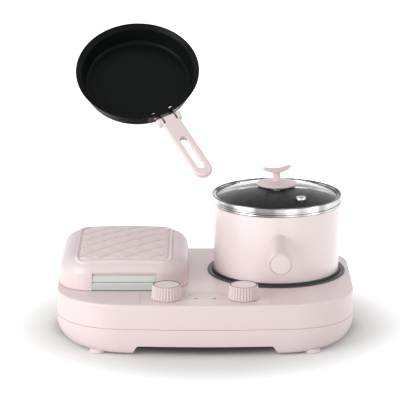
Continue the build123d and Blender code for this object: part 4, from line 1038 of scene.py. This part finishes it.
    def disc(self) -> None:
        """Make the round base of the grip."""
        soft = self.disc_round
        edge = self.disc_low + soft - self.disc_edge_drop
        outline = [(0.0, self.disc_low), (self.disc_radius - self.disc_inset, self.disc_low - self.disc_dip)]
        outline += arc((self.disc_radius - soft, edge), soft, -70, 60)
        outline += [(self.disc_radius / 2, self.disc_high - self.disc_crown), (0.0, self.disc_high)]
        disc = mesh_piece("lid_knob_base", lathe(outline, POT_AXIS, self.disc_steps), self.smooth_angle)
        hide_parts("lid_knob_disc")
        self.keep(disc, "pot_lid", "pink_lid_knob")

    def section(self, share: float) -> list[Point]:
        """Return a rounded oblong round the crescent at a share of its length, -1 and 1 being its tips."""
        bend = share * share
        thick = self.crescent_thick + (self.tip_thick - self.crescent_thick) * bend
        late, least = self.tip_height
        high = thick / 2 * math.sqrt(max(1.0 - abs(share) ** late, least))
        late, least = self.tip_depth
        wide = self.crescent_depth * math.sqrt(max(1.0 - abs(share) ** late, least))
        middle = self.crescent_low + self.tip_rise * bend + self.crescent_lean * share + thick / 2
        points = []
        for step in range(self.section_steps):
            turn = math.tau * step / self.section_steps
            y = wide * math.copysign(abs(math.cos(turn)) ** self.section_power, math.cos(turn))
            z = high * math.copysign(abs(math.sin(turn)) ** self.section_power, math.sin(turn))
            points.append((self.crescent_half * share, y, middle + z))
        return points

    def crescent(self) -> None:
        """Make the crescent grip on its stem."""
        foot = self.disc_high - self.stem_sunk
        wide = self.stem_radius + self.stem_round
        top = self.crescent_low + self.stem_reach
        stem = [(0.0, foot), (wide, foot)]
        stem += arc((wide, self.disc_high + self.stem_round), self.stem_round, -90, -180, 4)
        stem += [(self.stem_radius, top), (0.0, top)]
        mesh = lathe(stem, steps=self.stem_steps)
        rings = []
        for index in range(self.crescent_sections + 1):
            share = -math.cos(math.pi * index / self.crescent_sections)
            rings.append([mesh.verts.new(point) for point in self.section(share)])
        skin(mesh, rings)
        for vert in mesh.verts:
            vert.co.xy = spin(vert.co.x, vert.co.y, self.crescent_turn, POT_AXIS)
        crescent = mesh_piece("lid_crescent", mesh, self.smooth_angle)
        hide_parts("lid_knob")
        self.keep(crescent, "pot_lid", "pink_lid_knob")

    def build(self) -> None:
        """Make the lid's pieces."""
        self.glass()
        self.band()
        self.vent_ring()
        self.disc()
        self.crescent()


class FryingPan(SubAssembly):
    """The frying pan and its folding handle, whose shapes are all in their CAD nodes."""


@dataclass(frozen=True)
class Lamp:
    """A square area lamp: its name, where it hangs, its side and its power in watts."""

    name: str
    place: Point
    size: float
    power: float


@dataclass
class Studio:
    """Floor, world, lamps and camera."""

    camera_place: Point = (-0.0068, -3.0334, 0.9427)
    camera_pitch: float = 75.85
    lens: float = 207.0
    sensor: float = 36.0
    lamps: tuple[Lamp, ...] = (
        Lamp("key_left", (-1.75, -1.40, 0.70), 1.5, 32.0),
        Lamp("fill_right", (2.05, -0.70, 0.55), 0.6, 8.0),
    )
    lamp_aim: Point = (0.0, 0.0, 0.12)
    ambient: float = 0.60
    floor_half: float = 4.0
    floor_steps: int = 8
    floor_roughness: float = 0.9
    floor_colour: float = 0.80
    floor_lift: float = 0.03
    fade_scale: Point = (0.95, 1.0, 1.0)
    fade_span: Flat = (0.16, 0.37)
    painted_shadow_colour: float = 0.12
    # Painted shadow under the base: its colour, the ellipse's half sizes and where it fades.
    painted_shadow_half: Flat = (0.200, 0.128)
    painted_shadow_span: Flat = (0.85, 1.12)

    def add_camera(self) -> None:
        """Place the camera at the photograph's angle."""
        data = bpy.data.cameras.new("camera")
        data.lens = self.lens
        data.sensor_width = self.sensor
        camera = bpy.data.objects.new("camera", data)
        camera.location = self.camera_place
        camera.rotation_euler = (math.radians(self.camera_pitch), 0.0, 0.0)
        bpy.context.scene.collection.objects.link(camera)
        bpy.context.scene.camera = camera

    def add_lamp(self, lamp: Lamp) -> None:
        """Hang a lamp so that it faces the object."""
        data = bpy.data.lights.new(lamp.name, "AREA")
        data.size = lamp.size
        data.energy = lamp.power
        holder = bpy.data.objects.new(lamp.name, data)
        holder.location = lamp.place
        away = Vector(self.lamp_aim) - Vector(lamp.place)
        holder.rotation_euler = away.to_track_quat("-Z", "Y").to_euler()
        bpy.context.scene.collection.objects.link(holder)

    def white_ray(self, wiring: Wiring) -> Socket:
        """Return a factor that is one for camera, glossy and transmission rays."""
        path = wiring.node("ShaderNodeLightPath").outputs
        seen = wiring.math("MAXIMUM", path["Is Camera Ray"], path["Is Glossy Ray"])
        return wiring.math("MAXIMUM", seen, path["Is Transmission Ray"])

    def add_world(self) -> None:
        """Give the world a soft even light and a white look."""
        world = bpy.data.worlds.new("studio")
        bpy.context.scene.world = world
        world.use_nodes = True
        wiring = Wiring(world.node_tree)
        inputs = {"Factor": self.white_ray(wiring), "A": self.ambient, "B": 1.0}
        strength = wiring.node("ShaderNodeMix", inputs)
        background = world.node_tree.nodes["Background"]
        background.inputs["Color"].default_value = WHITE
        world.node_tree.links.new(strength.outputs["Result"], background.inputs["Strength"])

    def level_by_distance(self, wiring: Wiring, scale: Point, span: Flat, levels: Flat) -> Socket:
        """Lead a value from one level to another with the scaled distance from the floor's middle."""
        scaled = wiring.node("ShaderNodeMapping", {"Vector": wiring.place(), "Scale": scale})
        reach = wiring.node("ShaderNodeVectorMath", {0: scaled.outputs["Vector"]}, operation="LENGTH")
        return level_between(wiring, reach.outputs["Value"], span, levels)

    def add_floor(self) -> None:
        """Lay a wide pale floor, darker under the base as a painted shadow, that keeps the cast shadow and
        fades to white.
        """
        mesh = bmesh.new()
        steps = self.floor_steps
        bmesh.ops.create_grid(mesh, x_segments=steps, y_segments=steps, size=self.floor_half)
        floor = mesh_piece("floor", mesh)
        material = bpy.data.materials.new("floor_white")
        material.use_nodes = True
        wiring = Wiring(material.node_tree)
        shader = material.node_tree.nodes["Principled BSDF"]
        shader.inputs["Roughness"].default_value = self.floor_roughness
        shader.inputs["Specular IOR Level"].default_value = 0.0
        shader.inputs["Emission Color"].default_value = WHITE
        # Painted shadow: the floor's colour darkens within an ellipse under the base.
        painted_shadow_scale = (1.0 / self.painted_shadow_half[0], 1.0 / self.painted_shadow_half[1], 1.0)
        painted_shadow_levels = (self.painted_shadow_colour, self.floor_colour)
        painted_shadow = self.level_by_distance(wiring, painted_shadow_scale, self.painted_shadow_span, painted_shadow_levels)
        wiring.tree.links.new(painted_shadow, shader.inputs["Base Color"])
        fade = self.level_by_distance(wiring, self.fade_scale, self.fade_span, (self.floor_lift, 1.0))
        glow = wiring.math("MULTIPLY", fade, self.white_ray(wiring))
        wiring.tree.links.new(glow, shader.inputs["Emission Strength"])
        floor.data.materials.append(material)

    def build(self) -> None:
        """Set up everything round the object."""
        bpy.context.scene.view_settings.view_transform = "Standard"
        self.add_camera()
        self.add_world()
        self.add_floor()
        for lamp in self.lamps:
            self.add_lamp(lamp)
        LOG.info("studio built")


def main() -> None:
    """Build the studio and every sub-assembly in order."""
    logging.basicConfig(level=logging.INFO, format="%(name)s: %(message)s")
    Studio().build()
    book = FinishBook(Effects())
    parts: list[SubAssembly] = [
        Base(book, ["base"]),
        SandwichLid(book, ["sandwich_lid", "latch"]),
        Dials(book, ["timer_dial", "heat_dial"]),
        Pot(book, ["pot"]),
        PotLid(book, ["pot_lid"]),
        FryingPan(book, ["frying_pan", "pan_grip"]),
    ]
    for part in parts:
        part.dress()
        part.build()


if __name__ == "__main__":
    main()
